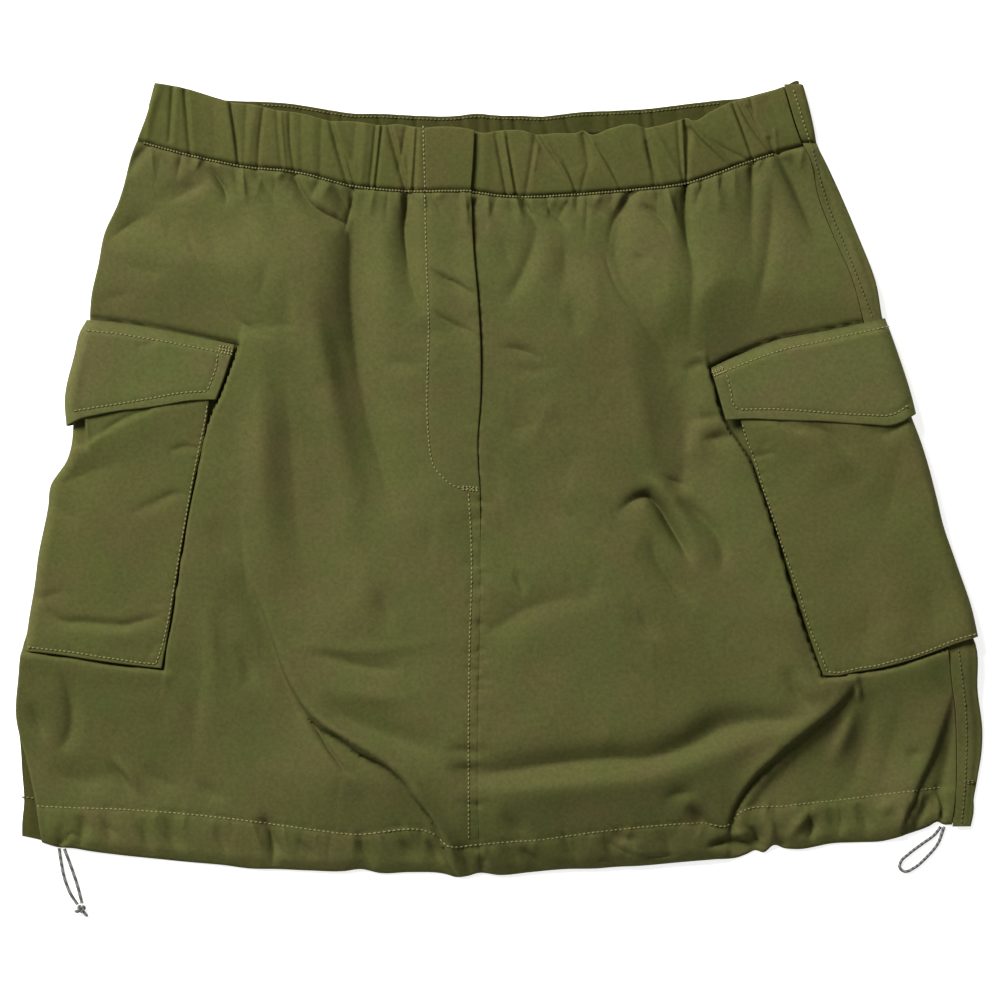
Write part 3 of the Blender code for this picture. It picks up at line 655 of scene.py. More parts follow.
# x, y, height and reaches along each crease, as full_rows reads them; left and right as one walks along it
BODY_CREASES = (
    # the lip and the ground along the edge of the puff at the left, and the soft hollow behind the lip
    ((-133.1, -60.5, 0, 4, 1), (-124.3, -84.7, 0.8, 6, 0.9), (-117.7, -103.4, 1.1),
     (-111.1, -116.6, 1.4, 5, 0.9), (-103.4, -127.1, 1.8, 4.6, 0.9), (-95.7, -133.7, 2.2),
     (-83.6, -141.4, 3), (-68.2, -150.2, 3), (-55, -160.1, 2.8), (-44, -173.8, 2.2, 5, 0.9),
     (-31.9, -192, 1.8), (-23.7, -211.2, 0, 5, 1)),
    ((-143, -33, 0, 2, 6), (-138.6, -52.8, -0.8, 1, 8), (-130.9, -72.6, -1.2, 0.9, 9),
     (-119.9, -103.4, -1.2, 0.9, 8), (-112.2, -119.9, -0.8, 0.9, 5), (-104.5, -130.4, -0.4, 0.9, 3),
     (-89.1, -143, -0.3), (-69.3, -155.1, -0.5, 0.9, 4), (-58.3, -161.7, -0.8, 0.9, 5),
     (-47.9, -175.5, -1, 0.9, 6), (-35.2, -191.4, -0.8), (-28.1, -210.1, -0.4, 1, 5),
     (-25.9, -217.8, 0, 2, 4)),
    ((-100.1, -121, 0, 8, 5), (-89.1, -128.7, -1.6, 9, 5), (-74.8, -135.3, -2.2), (-59.4, -140.8, -2.2),
     (-46.2, -145.2, -1.6, 9, 6), (-28.6, -148.5, 0, 8, 6)),
    # the folds that hang from the waist at the left
    ((-80.9, 161.7, -1.4, 5), (-80.9, 151.2, -3.1, 12, 8), (-80.9, 134.8, -4.6, 18, 9),
     (-82, 119.9, -5.4, 21, 10), (-82, 104.5, -5.5), (-80.3, 82.5, -4.9, 20, 10), (-78.7, 66, -4.1, 18, 10),
     (-74.8, 44, -3.3, 16, 10), (-71.5, 27.5, -2.7, 15, 10), (-66, 8.8, -2.1, 14, 11),
     (-61.1, -8.2, -1.2, 12, 11), (-57.2, -22, 0, 9, 10)),
    ((-51.2, 159.5, -1.6, 2, 2.6), (-51.7, 145.8, -2.6, 3, 4), (-51.2, 126.5, -2.7, 4, 5),
     (-49.5, 111.1, -2.1), (-45.1, 99, -1.4, 3, 4), (-40.2, 90.2, 0, 2, 3)),
    ((-71.5, 154, 0, 6), (-66, 129.2, 2, 8), (-62.7, 99, 1.8), (-58.3, 71.5)),
    ((-162.2, 174.4, -1, 2), (-156.2, 167.2, -1.8, 2.4, 2.8), (-151.2, 159.5, -1.8, 2.6, 3),
     (-149.1, 149.6, 0, 2, 3)),
    ((-169.4, 177.1, -1, 2), (-167.8, 165)), ((-143.6, 173.8, -1.4, 2.4), (-139.7, 162.8, 0, 2)),
    ((-135.9, 171.6, -0.8, 2), (-130.9, 163.9, -1, 2.2, 2.4), (-124.3, 156.2, -0.6, 3), (-117.7, 150.7)),
    ((-112.8, 169.4, -1.4, 2, 3), (-110, 159.5, -1.8, 2.4, 3.4), (-102.9, 149.6, -1.8, 2.6, 4),
     (-93.5, 143.6, -1.8), (-84.2, 139.2, 0, 2.4, 3)),
    ((-105.6, 165, 0, 2), (-102.9, 159.5, -0.9), (-100.1, 154)),
    ((-90.8, 161.7, -0.8, 2, 3), (-86.9, 152.4, -1.2, 2.4, 3.6), (-81.4, 141.9, 0, 2, 3)),
    ((-193.6, 183.7, -1.2, 3), (-201.3, 174.4, -1.6, 3, 4), (-206.3, 165, 0, 3)),
    ((-158.4, 166.1, 0, 3, 5), (-167.8, 161.2, -1.4), (-180.4, 156.2, -1, 4, 7), (-192.5, 152.4, 0, 4, 6)),
    ((-187, 147.4, 0, 4, 6), (-200.8, 140.8, -1.2), (-215.6, 133.7, 0, 3, 5)),
    ((-165, 151.2, 0, 10), (-157.3, 132, -1.4, 12), (-150.7, 110, 0, 10)),
    ((-158.4, 103.4, 0, 4), (-152.9, 95.7, -1.1, 3.5, 4), (-146.3, 87.5, -1.3, 3.5, 4.4),
     (-137.5, 83.1, -1.1, 4, 4.4), (-124.3, 84.7, 0, 4)),
    ((-125.4, 94.6, 0, 3, 4), (-118.8, 84.7, -1.1, 3, 5), (-108.4, 72.6, 0, 4, 5)),
    ((-137.5, 82.5, 0, 8), (-130.9, 44, 1.7, 9), (-128.7, -11, 1.9, 10, 9), (-118.8, -60.5, 0, 12, 9)),
    ((-118.8, 74.2, 0, 9), (-115, 27.5, -0.9, 10), (-112.2, -16.5, -0.8), (-106.7, -60.5, 0, 9)),
    ((-106.7, 110, 0, 7), (-97.9, 71.5, 1.8, 6, 8), (-89.1, 33, 1.6, 7, 9), (-83.6, 0, 1.4, 8, 9),
     (-78.1, -38.5, 0, 9)),
    ((-134.8, 151.2, 0, 8), (-130.9, 134.8, 1.2), (-119.9, 119.9, 1), (-110, 99)),
    ((-126.5, 123.2, 0, 5), (-129.8, 107.3, -0.9), (-134.2, 90.8)),
    ((-214.5, 119.9, 0, 6, 8), (-192.5, 115.5, -0.8), (-170.5, 111.7)),
    ((-222.8, 97.9, 0, 4, 5), (-210.1, 100.7, -0.8), (-198, 102.9)),
    ((-66, 68.2, 0, 4, 6), (-55, 64.9, -0.8), (-39.6, 63.8)),
    ((-49.5, 82.5, 0, 4, 6), (-33, 81.4, -0.6), (-16.5, 78.1)),
    ((-38.5, 115.5, 0, 2.4, 3), (-26.4, 107.8, -1.2, 2.4, 3.4), (-13.2, 99.6, 0, 2.4, 3)),
    ((-37.4, 92.4, 0, 3, 4), (-27.5, 85.8, -0.8), (-12.1, 80.3)),
    ((-67.1, -60.5, 0, 3, 5), (-61.6, -72.6, -0.8), (-57.8, -84.7)),
    # the low ground at the left, and under the pocket
    ((-162.2, -22, 0, 9, 6), (-152.9, -35.8, -1), (-147.4, -52.3, 0, 8, 6)),
    ((-161.7, -66, 0, 6), (-157.9, -93.5, 1.1, 5, 6), (-152.9, -115.5, 0, 6)),
    ((-145.2, -88, 0, 6), (-138.6, -103.4, -1.2), (-134.2, -115.5)),
    ((-161.7, -96.3, 0, 3, 6), (-165.6, -121, -0.9, 4, 7), (-168.9, -156.8)),
    ((-242, -105.6, 0, 4, 3), (-236.5, -118.3, -1.4, 4, 3.4), (-235.4, -133.1, -1.5, 4, 3.6),
     (-238.7, -144.1, -1.2, 4), (-244.2, -149.6, 0, 3)),
    ((-258.5, -122.1, 0, 3), (-254.1, -133.1, -1.2, 3.4), (-249.2, -143.6, 0, 3)),
    ((-249.7, -158.4, 0, 8, 6), (-229.9, -165.6, -1.4, 9, 7), (-210.1, -161.7, 0, 6)),
    ((-215.6, -154, 0, 2.4, 3.4), (-208.5, -163.9, -1.3, 2.4, 3.6), (-201.9, -176, 0, 3)),
    ((-213.4, -151.8, 0, 3, 2), (-205.2, -160.6, 1.2, 3, 2.4), (-196.4, -173.8, 0, 3, 2)),
    ((-198, -157.3, 0, 6, 5), (-185.9, -166.1, -1), (-172.7, -170, 0, 5)),
    ((-166.1, -165, 0, 3, 4), (-158.4, -171.6, -1), (-149.6, -177.1, 0, 3)),
    ((-112.2, -129.8, 0, 6), (-100.1, -145.2, 0.9, 8), (-86.9, -160.6, 1), (-75.9, -172.7)),
    # the middle, above the great fold
    ((-115.5, -90.2, 0, 3), (-88, -93, 0.5, 4, 3), (-55, -91.9, 0.4), (-29.7, -88, 0, 3)),
    ((-106.7, -93.5, 0, 5, 3), (-92.4, -97.9, -0.9), (-78.1, -101.8, -1.3, 4, 3), (-62.7, -103.4, -0.9),
     (-52.8, -103.4)),
    ((-93.5, -115.5, 0, 6, 5), (-71.5, -117.7, 0.9), (-44, -121)),
    ((-88, -44, 0, 10, 8), (-74.2, -55, 1), (-88, -88)),
    ((-33, -149.6, 0, 3), (-19.2, -147.4, -1.1, 3, 4), (-2.2, -149.6, 0, 3)),
    ((-29.7, -158.4, 0, 3), (-19.2, -157.9, -1.2, 3, 3.4), (-9.9, -157.9, 0, 3)),
    # the folds that hang from the waist at the right
    ((4.4, 155.1, 0, 2), (6.6, 149.6, -0.8), (8.8, 144.1)),
    ((11, 157.3, -1, 2), (14.9, 147.4, -1.4, 2.2, 2.6), (17.1, 143, 0, 2)),
    ((23.7, 155.1, -0.6, 2, 2.4), (30.8, 146.9, -1.4, 2.4, 3), (39.1, 137.5)),
    ((42.4, 157.3, -1.6, 2.4), (42.4, 149.6, -1, 2), (43.5, 144.1)),
    ((49.5, 155.1, 0, 2, 3), (53.4, 148.5, -0.8), (58.9, 144.1)),
    ((72.6, 160.6, -2, 3, 4), (69.3, 150.7, -2.2, 4, 6), (64.9, 138.6, -2.5, 8, 9),
     (63.3, 126.5, -2.6, 12, 11), (66, 112.8, -2.4, 14, 12), (73.7, 97.4, -2.2, 16, 12), (82.5, 82.5, -1.9),
     (90.2, 66, -1.2, 14, 12), (95.7, 52.3, 0, 12)),
    ((74.8, 150.7, 0, 2.4, 3), (83.6, 148, -1.2), (92.4, 137)),
    ((89.7, 161.7, -1.4, 2.4), (91.9, 152.9, 0, 2)), ((71.5, 123.2, 0, 3), (77, 121, -0.9), (83.6, 123.2)),
    ((102.3, 164.5, -2.6, 2.6), (101.2, 148.5, -3, 2.8, 3), (102.9, 132, -2.6, 3.6), (105.6, 118.8, -1.8, 5),
     (104.5, 88, -1, 6), (103.4, 66)),
    ((140.2, 177.1, -2.2, 3), (139.7, 167.2, -2, 3.4, 3.6), (138.6, 143, -1.3, 5, 6), (138.6, 104.5)),
    ((149.6, 167.2, 0, 3, 4), (149.6, 145.8, -1.2, 4, 5), (146.3, 118.3, -1.4), (141.4, 96.3, -1),
     (135.9, 78.1)),
    ((152.9, 178.2, -2, 5, 3), (159.5, 166.1, -2.8, 8, 3), (166.7, 149.6, -2, 10, 3.4),
     (176, 126.5, 0, 10, 4)),
    ((22, 145.2, 0, 3.4), (16.5, 123.2, -1.4, 4), (11, 110, -1.5, 3.6, 4), (1.7, 95.7, 0, 3)),
    ((0, 136.4, 0, 4), (3.9, 123.8, -0.8), (6.6, 112.8)),
    ((34.7, 136.4, 0, 4, 5), (35.8, 119.9, -1.2, 5), (34.1, 101.2)),
    ((36.3, 97.9, 0, 3, 4), (40.7, 86.9, -1), (44.6, 78.1)),
    ((22.6, 140.2, 0, 8), (22.6, 112.8, 0.8, 9), (19.2, 82.5)),
    ((49.5, 134.8, 0, 5, 7), (51.7, 99, 0.8, 6, 8), (55, 71.5, 0, 8)),
    ((118.3, 154, 0, 8), (121, 115.5, 0.6, 9), (116.6, 82.5)),
    ((94.6, 132, 0, 5), (92.4, 99, 0.4, 5, 6), (92.4, 77)),
    # the long hollow at the right, and the knuckle of folds at its foot
    ((77, 82.5, 0, 12, 8), (90.2, 60.5, -0.8, 18, 12), (99, 38.5, -1.3, 18, 13), (102.3, 19.2, -1.6, 14, 13),
     (101.2, 5.5, -1.5, 8, 10), (97.9, -8.2, 0, 5, 6)),
    ((67.1, 88, 0, 6), (73.7, 60.5, 0.4, 6, 9), (77.6, 38.5, 0.5), (82, 19.2, 0.5, 5, 9),
     (85.2, 2.2, 0, 3, 5)),
    ((61.6, -19.8, 0, 3, 4), (67.1, -15.4, -0.8, 3, 6), (73.7, -9.9, -1.6, 3.4, 6), (80.9, -8.8, -2.2, 4, 5),
     (86.9, -14.9, -2.6, 4), (93, -24.8, -2.7, 4, 4.4), (100.1, -37.4, -1.8, 4), (106.2, -50.6, 0, 3)),
    ((77, -1.1, 0, 4, 3), (85.8, -2.2, 0.9, 5, 3), (94.1, -11, 1.2, 5, 3.4), (100.7, -20.9, 1.2, 5, 3.6),
     (106.7, -33, 0.8), (112.2, -48.4, 0, 5, 4)),
    ((90.2, 1.1, -0.6, 3), (96.8, -1.1, -1.2, 3, 4), (106.2, -4.4)),
    ((96.8, -9.9, 0, 3, 4), (107.3, -17.1, -1.8, 3, 4.4), (116.6, -25.9, -2, 3, 4.6),
     (122.1, -36.3, -1.8, 3, 4.4), (121.6, -53.9, 0, 3, 4)),
    ((81.4, -28.6, 0, 4), (85.8, -44, -1.6, 5), (95.7, -57.2, -1.6), (108.9, -67.1)),
    ((104.5, 57.2, 0, 8, 4), (110, 39.6, 1.4, 10, 4), (108.4, 22, 1.6), (100.1, 6.6, 0, 8, 4)),
    ((100.1, 59.4, 0, 2.4, 3), (106.7, 62.7, -1.2, 2.4, 3.4), (115.5, 64.9, 0, 2, 3)),
    ((102.3, 32.5, 0, 3), (112.2, 34.1, -1.2), (122.1, 35.2, 0, 2, 3)),
    ((108.9, 20.9, 0, 3), (118.3, 23.1, -1.6, 3, 4), (130.9, 24.8, 0, 3)),
    # the right front's middle
    ((-2.2, 72.6, 0, 3, 4), (11, 71.5, -1), (25.3, 64.9)), ((0, 62.7, 0, 4), (16.5, 60, -0.7), (35.8, 62.7)),
    ((30.3, 46.8, 0, 5), (22, 33, 0.8), (12.1, 16.5)),
    ((2.8, 27.5, 0, 4, 6), (16.5, 30.3, -0.7), (26.4, 41.2)),
    ((6.6, 15.4, 0, 10, 8), (16.5, -5.5, -1, 12, 8), (33, -20.4, -1), (55, -13.8, 0, 10, 8)),
    ((7.7, -48.4, 0, 1.6, 1.8), (10.5, -56.1, -1.1), (13.8, -64.4)),
    ((-16.5, -89.1, 0, 5), (0, -79.8, -1.1, 7, 6), (16.5, -69.9, -1.2, 8, 7), (33, -65.5, -0.9),
     (55, -66, 0, 8, 6)),
    ((0, -88, 0, 6, 10), (33, -75.9, 0.5, 6, 14), (77, -64.9, 0.3), (99, -66, 0, 6, 10)),
    ((74.8, -68.2, 0, 3), (80.3, -79.8, -0.9, 3, 3.4), (86.4, -88, 0, 3)),
    # the long hollow across the foot of the right front, and the ridge below it
    ((-26.4, -163.9, 0, 6, 5), (-11, -161.2, -2, 7, 6), (5.5, -159.5, -2.7, 8, 6), (33, -155.7, -3.2),
     (57.8, -153.5, -3.4), (83.6, -152.4, -3.4), (104.5, -146.3, -3.5, 9, 6), (121, -137.5, -3.4, 10, 6),
     (137.5, -133.1, -2.4, 8, 5), (156.8, -132, -1.2, 6, 4), (171.6, -128.7, 0, 5, 4)),
    ((-16.5, -171.6, 0, 4, 8), (11, -169.4, 0.9, 4, 9), (49.5, -166.1, 1.3, 5, 9), (82.5, -162.2, 1),
     (110, -152.9, 1), (138.6, -144.1, 1, 5, 8), (165, -134.8, 0.8, 5, 6), (182.6, -124.3, 0, 4, 5)),
    ((155.7, -101.2, 0, 5), (162.2, -115.5, -1.6), (174.9, -129.2, 0, 4, 5)),
    ((162.2, -105.6, 0, 5), (171.6, -115.5, 1), (180.4, -118.8, 0, 4)),
    # the lip along the edge of the puff at the right, and what lies beyond it
    ((192.5, -113.3, 0, 1.4, 6), (183.7, -124.3, 0.9, 1.4, 7), (165, -139.7, 1), (151.2, -151.2, 1),
     (137.5, -164.5, 0.9), (128.7, -178.2, 0, 1.4, 6)),
    ((199.1, -115.5, 0, 8, 4), (188.1, -132, -1, 14, 3), (169.4, -147.4, -1.2, 16, 3), (155.7, -159.5, -1.3),
     (143, -173.8, -1.2, 12, 3), (134.8, -189.8, 0, 8, 3)),
    ((165, -144.1, 1, 14, 8), (149.6, -157.3, 1.6, 26, 8), (140.8, -169.4, 1.8, 30, 7),
     (134.2, -182.6, 1.4, 26, 6), (132, -195.8, 0, 20, 5)),
    ((195.3, -121, 0, 4), (190.3, -137.5, 1.8, 5, 4), (182.6, -158.4, 0, 5)),
    ((204.6, -115.5, 0, 7), (201.3, -143, -1.8, 8), (190.3, -176)),
    ((221.1, -117.7, 0, 5), (216.7, -143, -0.8, 6, 8), (209, -176, 0, 6)),
    ((222.8, -151.8, 0, 3, 4), (228.3, -150.7, -1.2), (233.2, -149.6)),
    ((248.1, -115.5, 0, 1, 8), (246.4, -124.3, 1, 1, 10), (242, -138.6, 1.7, 1, 13),
     (236.5, -154, 2.1, 1, 15), (230.5, -167.2, 2.2), (227.2, -176.6, 2.1, 1, 13), (222.2, -187, 1.8, 1, 10),
     (222.2, -193.6, 1, 1, 8)),
    ((249.2, -126.5, 0, 2, 4), (247.5, -145.8, -0.8, 2, 5), (244.2, -165, -1.2, 2.6, 5),
     (238.7, -178.8, -1.2, 3, 4), (236.5, -190.3)),
    ((195.8, -107.8, 0, 1.3), (196.4, -115.5, 1.5), (197.5, -123.2)))
# the same where the cloth is folded sharply under itself
SHARP_CREASES = (
    ((-138.1, -50.6, 0, 0.6), (-131.5, -70.4, -1), (-123.8, -91.9, -1.2), (-116.1, -111.7, -1.6),
     (-110.6, -121, -2.4), (-104.7, -130, -3.4, 0.7, 0.8), (-99.3, -138.3, -3.6, 0.8, 0.9),
     (-94.6, -146.3, -3.6), (-88.6, -154.4, -3.4), (-83.6, -159.8, -2.2, 0.8), (-79.2, -162.2, 0, 0.7)),
    ((-102.9, -131.5, -0.4, 0.6), (-95.2, -137.8, -2.6, 0.6, 0.7), (-89.1, -141, -3.2, 0.7, 0.8),
     (-82.5, -145.9, -3.2), (-75.7, -150.7, -3.6, 0.7, 0.9), (-69, -153.5, -3.6),
     (-63.6, -156.2, -3.4, 0.6, 0.8), (-58.3, -160.1, -3, 0.6), (-52.8, -165.6, -3), (-47.5, -174.1, -3),
     (-40.9, -181.7, -3.2, 0.7), (-36.3, -188.3, -3.4, 0.8, 0.7), (-33.6, -195, -3.2, 0.8),
     (-30.3, -203.2, -2.6), (-27.5, -211.2, -2, 0.7), (-24.2, -217.8, -1)),
    ((193.6, -115.5, 0, 0.7, 0.8), (185.9, -124.3, -1), (166.7, -140.8, -1.6), (152.4, -152.4, -2, 0.7, 0.9),
     (139.7, -165, -2.6, 0.7, 1), (132, -176, -2.2, 0.7, 0.9), (127.1, -188.1, -1.6, 0.7, 0.8),
     (124.9, -203.5, 0, 0.7)),
    ((245.3, -129.8, 0, 0.6), (237.1, -154.6, -0.8), (230.8, -167.8, -1.6), (227.7, -177.1, -2),
     (222.8, -187, -2), (222.8, -193.6, -1)),
    ((239.8, -167.8, 0, 0.6), (242.8, -175.2, -2, 0.7), (244.4, -180.7, -2.6, 0.8),
     (243.1, -187.6, -2, 0.7)),
    ((238.7, -170, 0, 0.6), (240.9, -176, 0.9, 0.7), (242, -182.6, 1), (240.4, -188.1, 0, 0.6)),
    ((-80.9, 161.7, -1, 0.6, 0.8), (-81.4, 154, -1.6), (-84.2, 141.9, -1.4, 0.8), (-86.4, 132)),
    ((-51.2, 159.5, -2, 0.6, 0.8), (-51.7, 149.6, -2), (-52.8, 138.6, -1.2, 0.8), (-50.6, 119.9, -0.6),
     (-45.7, 101.2)),
    ((-100.1, 148.5, -0.2, 0.6), (-90.2, 144.1, -1.2, 0.6, 0.8), (-83.6, 136.4, -1.2),
     (-82.5, 128.7, 0, 0.8)),
    ((102.3, 164.5, -2, 0.6, 0.7), (101.8, 154, -2.2), (102.3, 140.2, -1.6, 0.7), (103.4, 126.5, 0, 0.8)),
    ((72.6, 160.6, -1.2, 0.6, 0.7), (68.2, 152.4, -1.4), (61.6, 139.7, -1, 0.7, 0.8), (58.9, 127.6, 0, 0.8)),
    ((154, 178.2, -1, 0.7, 0.6), (159.5, 168.3, -1.4), (165, 156.2, 0, 0.8)),
    ((67.1, -15.4, -0.4, 0.8, 1), (73.7, -10.5, -1.4, 1, 1.6), (79.8, -8.5, -2.6, 1.6, 2),
     (85.8, -13.2, -3.4, 2.4, 2), (92.4, -23.7, -3.4, 2.4, 1.8), (99, -34.7, -2.4, 2, 1.6),
     (104.5, -44.6, 0, 1.6, 1.4)),
    ((90.8, 1.1, 0, 0.8), (96.8, -1.1, -0.7, 0.9), (105.6, -4.4, 0, 0.8)),
    ((-159, 172.7, -1, 0.7), (-155.7, 167.2, -1.6, 0.9), (-151.8, 160.6, -1.6), (-149.6, 152.4)),
    ((-159.5, 163.4, 0, 0.8), (-168.3, 159.5, -1, 0.8, 1), (-177.1, 155.1, -0.9),
     (-184.8, 152.4, 0, 0.8, 0.9)),
    ((-195.8, 145.2, 0, 0.8), (-206.8, 138.1, -0.8, 0.8, 1), (-216.7, 129.2, 0, 0.8, 0.9)),
    ((-173.2, 141.9, 0, 0.9), (-168.9, 127.1, -0.7, 1), (-160.6, 116.6, -0.7), (-152.4, 108.4, -0.6),
     (-145.2, 95.7)),
    ((-154.6, 101.8, 0, 0.8), (-149.1, 94.1, -1.1, 0.8, 0.9), (-143, 88, -1.3), (-132, 81.4, -0.9),
     (-120.5, 77.6, 0, 0.8)),
    ((-133.7, 170.5, -0.9, 0.7), (-129.2, 162.8, -0.9, 0.8), (-124.9, 155.1)),
    ((-113.9, 168.9, -0.8, 0.6), (-110, 160.6, -1.4, 0.7), (-102.9, 150.7, -1.6, 0.7, 0.8),
     (-93, 144.7, -1.6), (-83.1, 139.2, -0.8), (-81.4, 132)),
    ((-89.7, 159.5, -0.8, 0.6), (-85.2, 152.4, -1.2, 0.7), (-81.4, 145.2)),
    ((-39.6, 116.1, 0, 0.7), (-30.8, 110.6, -1.4, 0.7, 0.8), (-22, 106.7, -1.6), (-13.8, 100.7, -1)),
    ((-39.1, 93.5, 0, 0.8), (-28.6, 86.9, -0.9, 0.8, 0.9), (-14.3, 80.3, -0.6)),
    ((11.6, 155.1, -1, 0.7), (16, 147.4, -1.2, 0.8), (21.5, 135.3)),
    ((24.2, 149.6, -0.7, 0.7), (30.8, 144.1, -1, 0.8), (38, 137)),
    ((75.4, 152.4, 0, 0.7), (83.6, 147.4, -1, 0.8), (90.2, 140.8, -0.9), (94.6, 132)),
    ((57.2, 126.5, 0, 0.8), (60, 114.4, -0.7, 0.9), (67.1, 100.1, -0.7), (77, 88, -0.5), (85.2, 72.6)),
    ((-0.6, 72.6, 0, 0.8), (11, 71, -0.7, 0.8, 0.9), (25.3, 64.9, 0, 0.8)),
    ((9.9, -199.7, 0, 0.8), (15.4, -204.6, -1, 0.9), (22, -209.6, 0, 0.8)),
    ((69.3, -195.8, 0, 0.7), (73.7, -201.3, -1.2, 0.8), (82.5, -204.6)),
    ((56.1, -193.6, -0.4, 0.7), (60.5, -199.1, -1.5, 0.8), (67.1, -203.5, -1.3), (77, -206.8, -1),
     (90.2, -206.8, -1), (101.2, -204.1)),
    ((52.8, -210.1, 0, 0.7), (56.7, -208.5, -1.3, 0.8), (61.1, -211.8, 0, 0.7)),
    ((33, -191.4, 0, 0.7), (36.3, -196.9, -0.9, 0.8), (38.5, -203.5, 0, 0.7)),
    ((110, -203, 0, 0.8), (118.8, -200.8, -1.6, 1, 0.9), (128.7, -199.1, -2.2), (136.4, -200.2, -2, 0.9),
     (139.2, -204.6, -1.2, 0.8)),
    ((134.2, -189.2, 0, 0.8), (139.7, -192.5, -1.4), (143, -199.1, -2, 0.9), (146.3, -203.5, -1.4, 0.8),
     (148.5, -205.2)),
    ((-243.7, -202.4, -0.6, 0.7), (-239.8, -198.6, -1.8, 0.8), (-236, -194.7, -1.5), (-228.8, -199.1)),
    ((-218.9, -188.1, 0, 0.8), (-214.5, -192.5, -0.9), (-209, -195.8)),
    ((-187, -193.6, 0, 0.8), (-182.6, -198, -1.3), (-176, -204.6)),
    ((-123.8, -196.9, 0, 0.7), (-119.9, -203.5, -1.4, 0.8), (-115.5, -210.1, 0, 0.7)),
    ((-128.7, -187, 0, 0.8), (-125.4, -196.9, -1.8), (-124.3, -203.5, -1.6), (-124.3, -211.2, -0.8, 0.7)),
    ((168.3, -182.6, 0, 0.7), (172.2, -190.3, -1.4, 0.8), (169.4, -199.1, 0, 0.7)),
    ((185.9, -179.3, 0, 0.7), (188.1, -188.1, -1.1, 0.8), (185.9, -196.9, 0, 0.7)))


def gathers(count, first, last, edge, seed, length, height, width, below=0.0, lean=4.0):
    """Seeded small folds down from an edge table, between two places. Every other one is a hollow."""
    pick = np.random.default_rng(seed)
    rows = []
    for place in np.linspace(first, last, count) + pick.uniform(-0.35, 0.35, count) * (last - first) / count:
        long = pick.uniform(*length)
        tall = pick.uniform(*height) * (1 if len(rows) % 2 else -0.8)
        wide = pick.uniform(*width)
        top = float(along(edge, place)) - below
        slant = pick.uniform(-lean, lean)
        rows.append(((place, top, tall * 0.5, wide * 0.8),
                     (place + slant * 0.3, top - long * 0.3, tall, wide, wide * 1.2),
                     (place + slant, top - long, 0, wide * 1.4)))
    return tuple(rows)


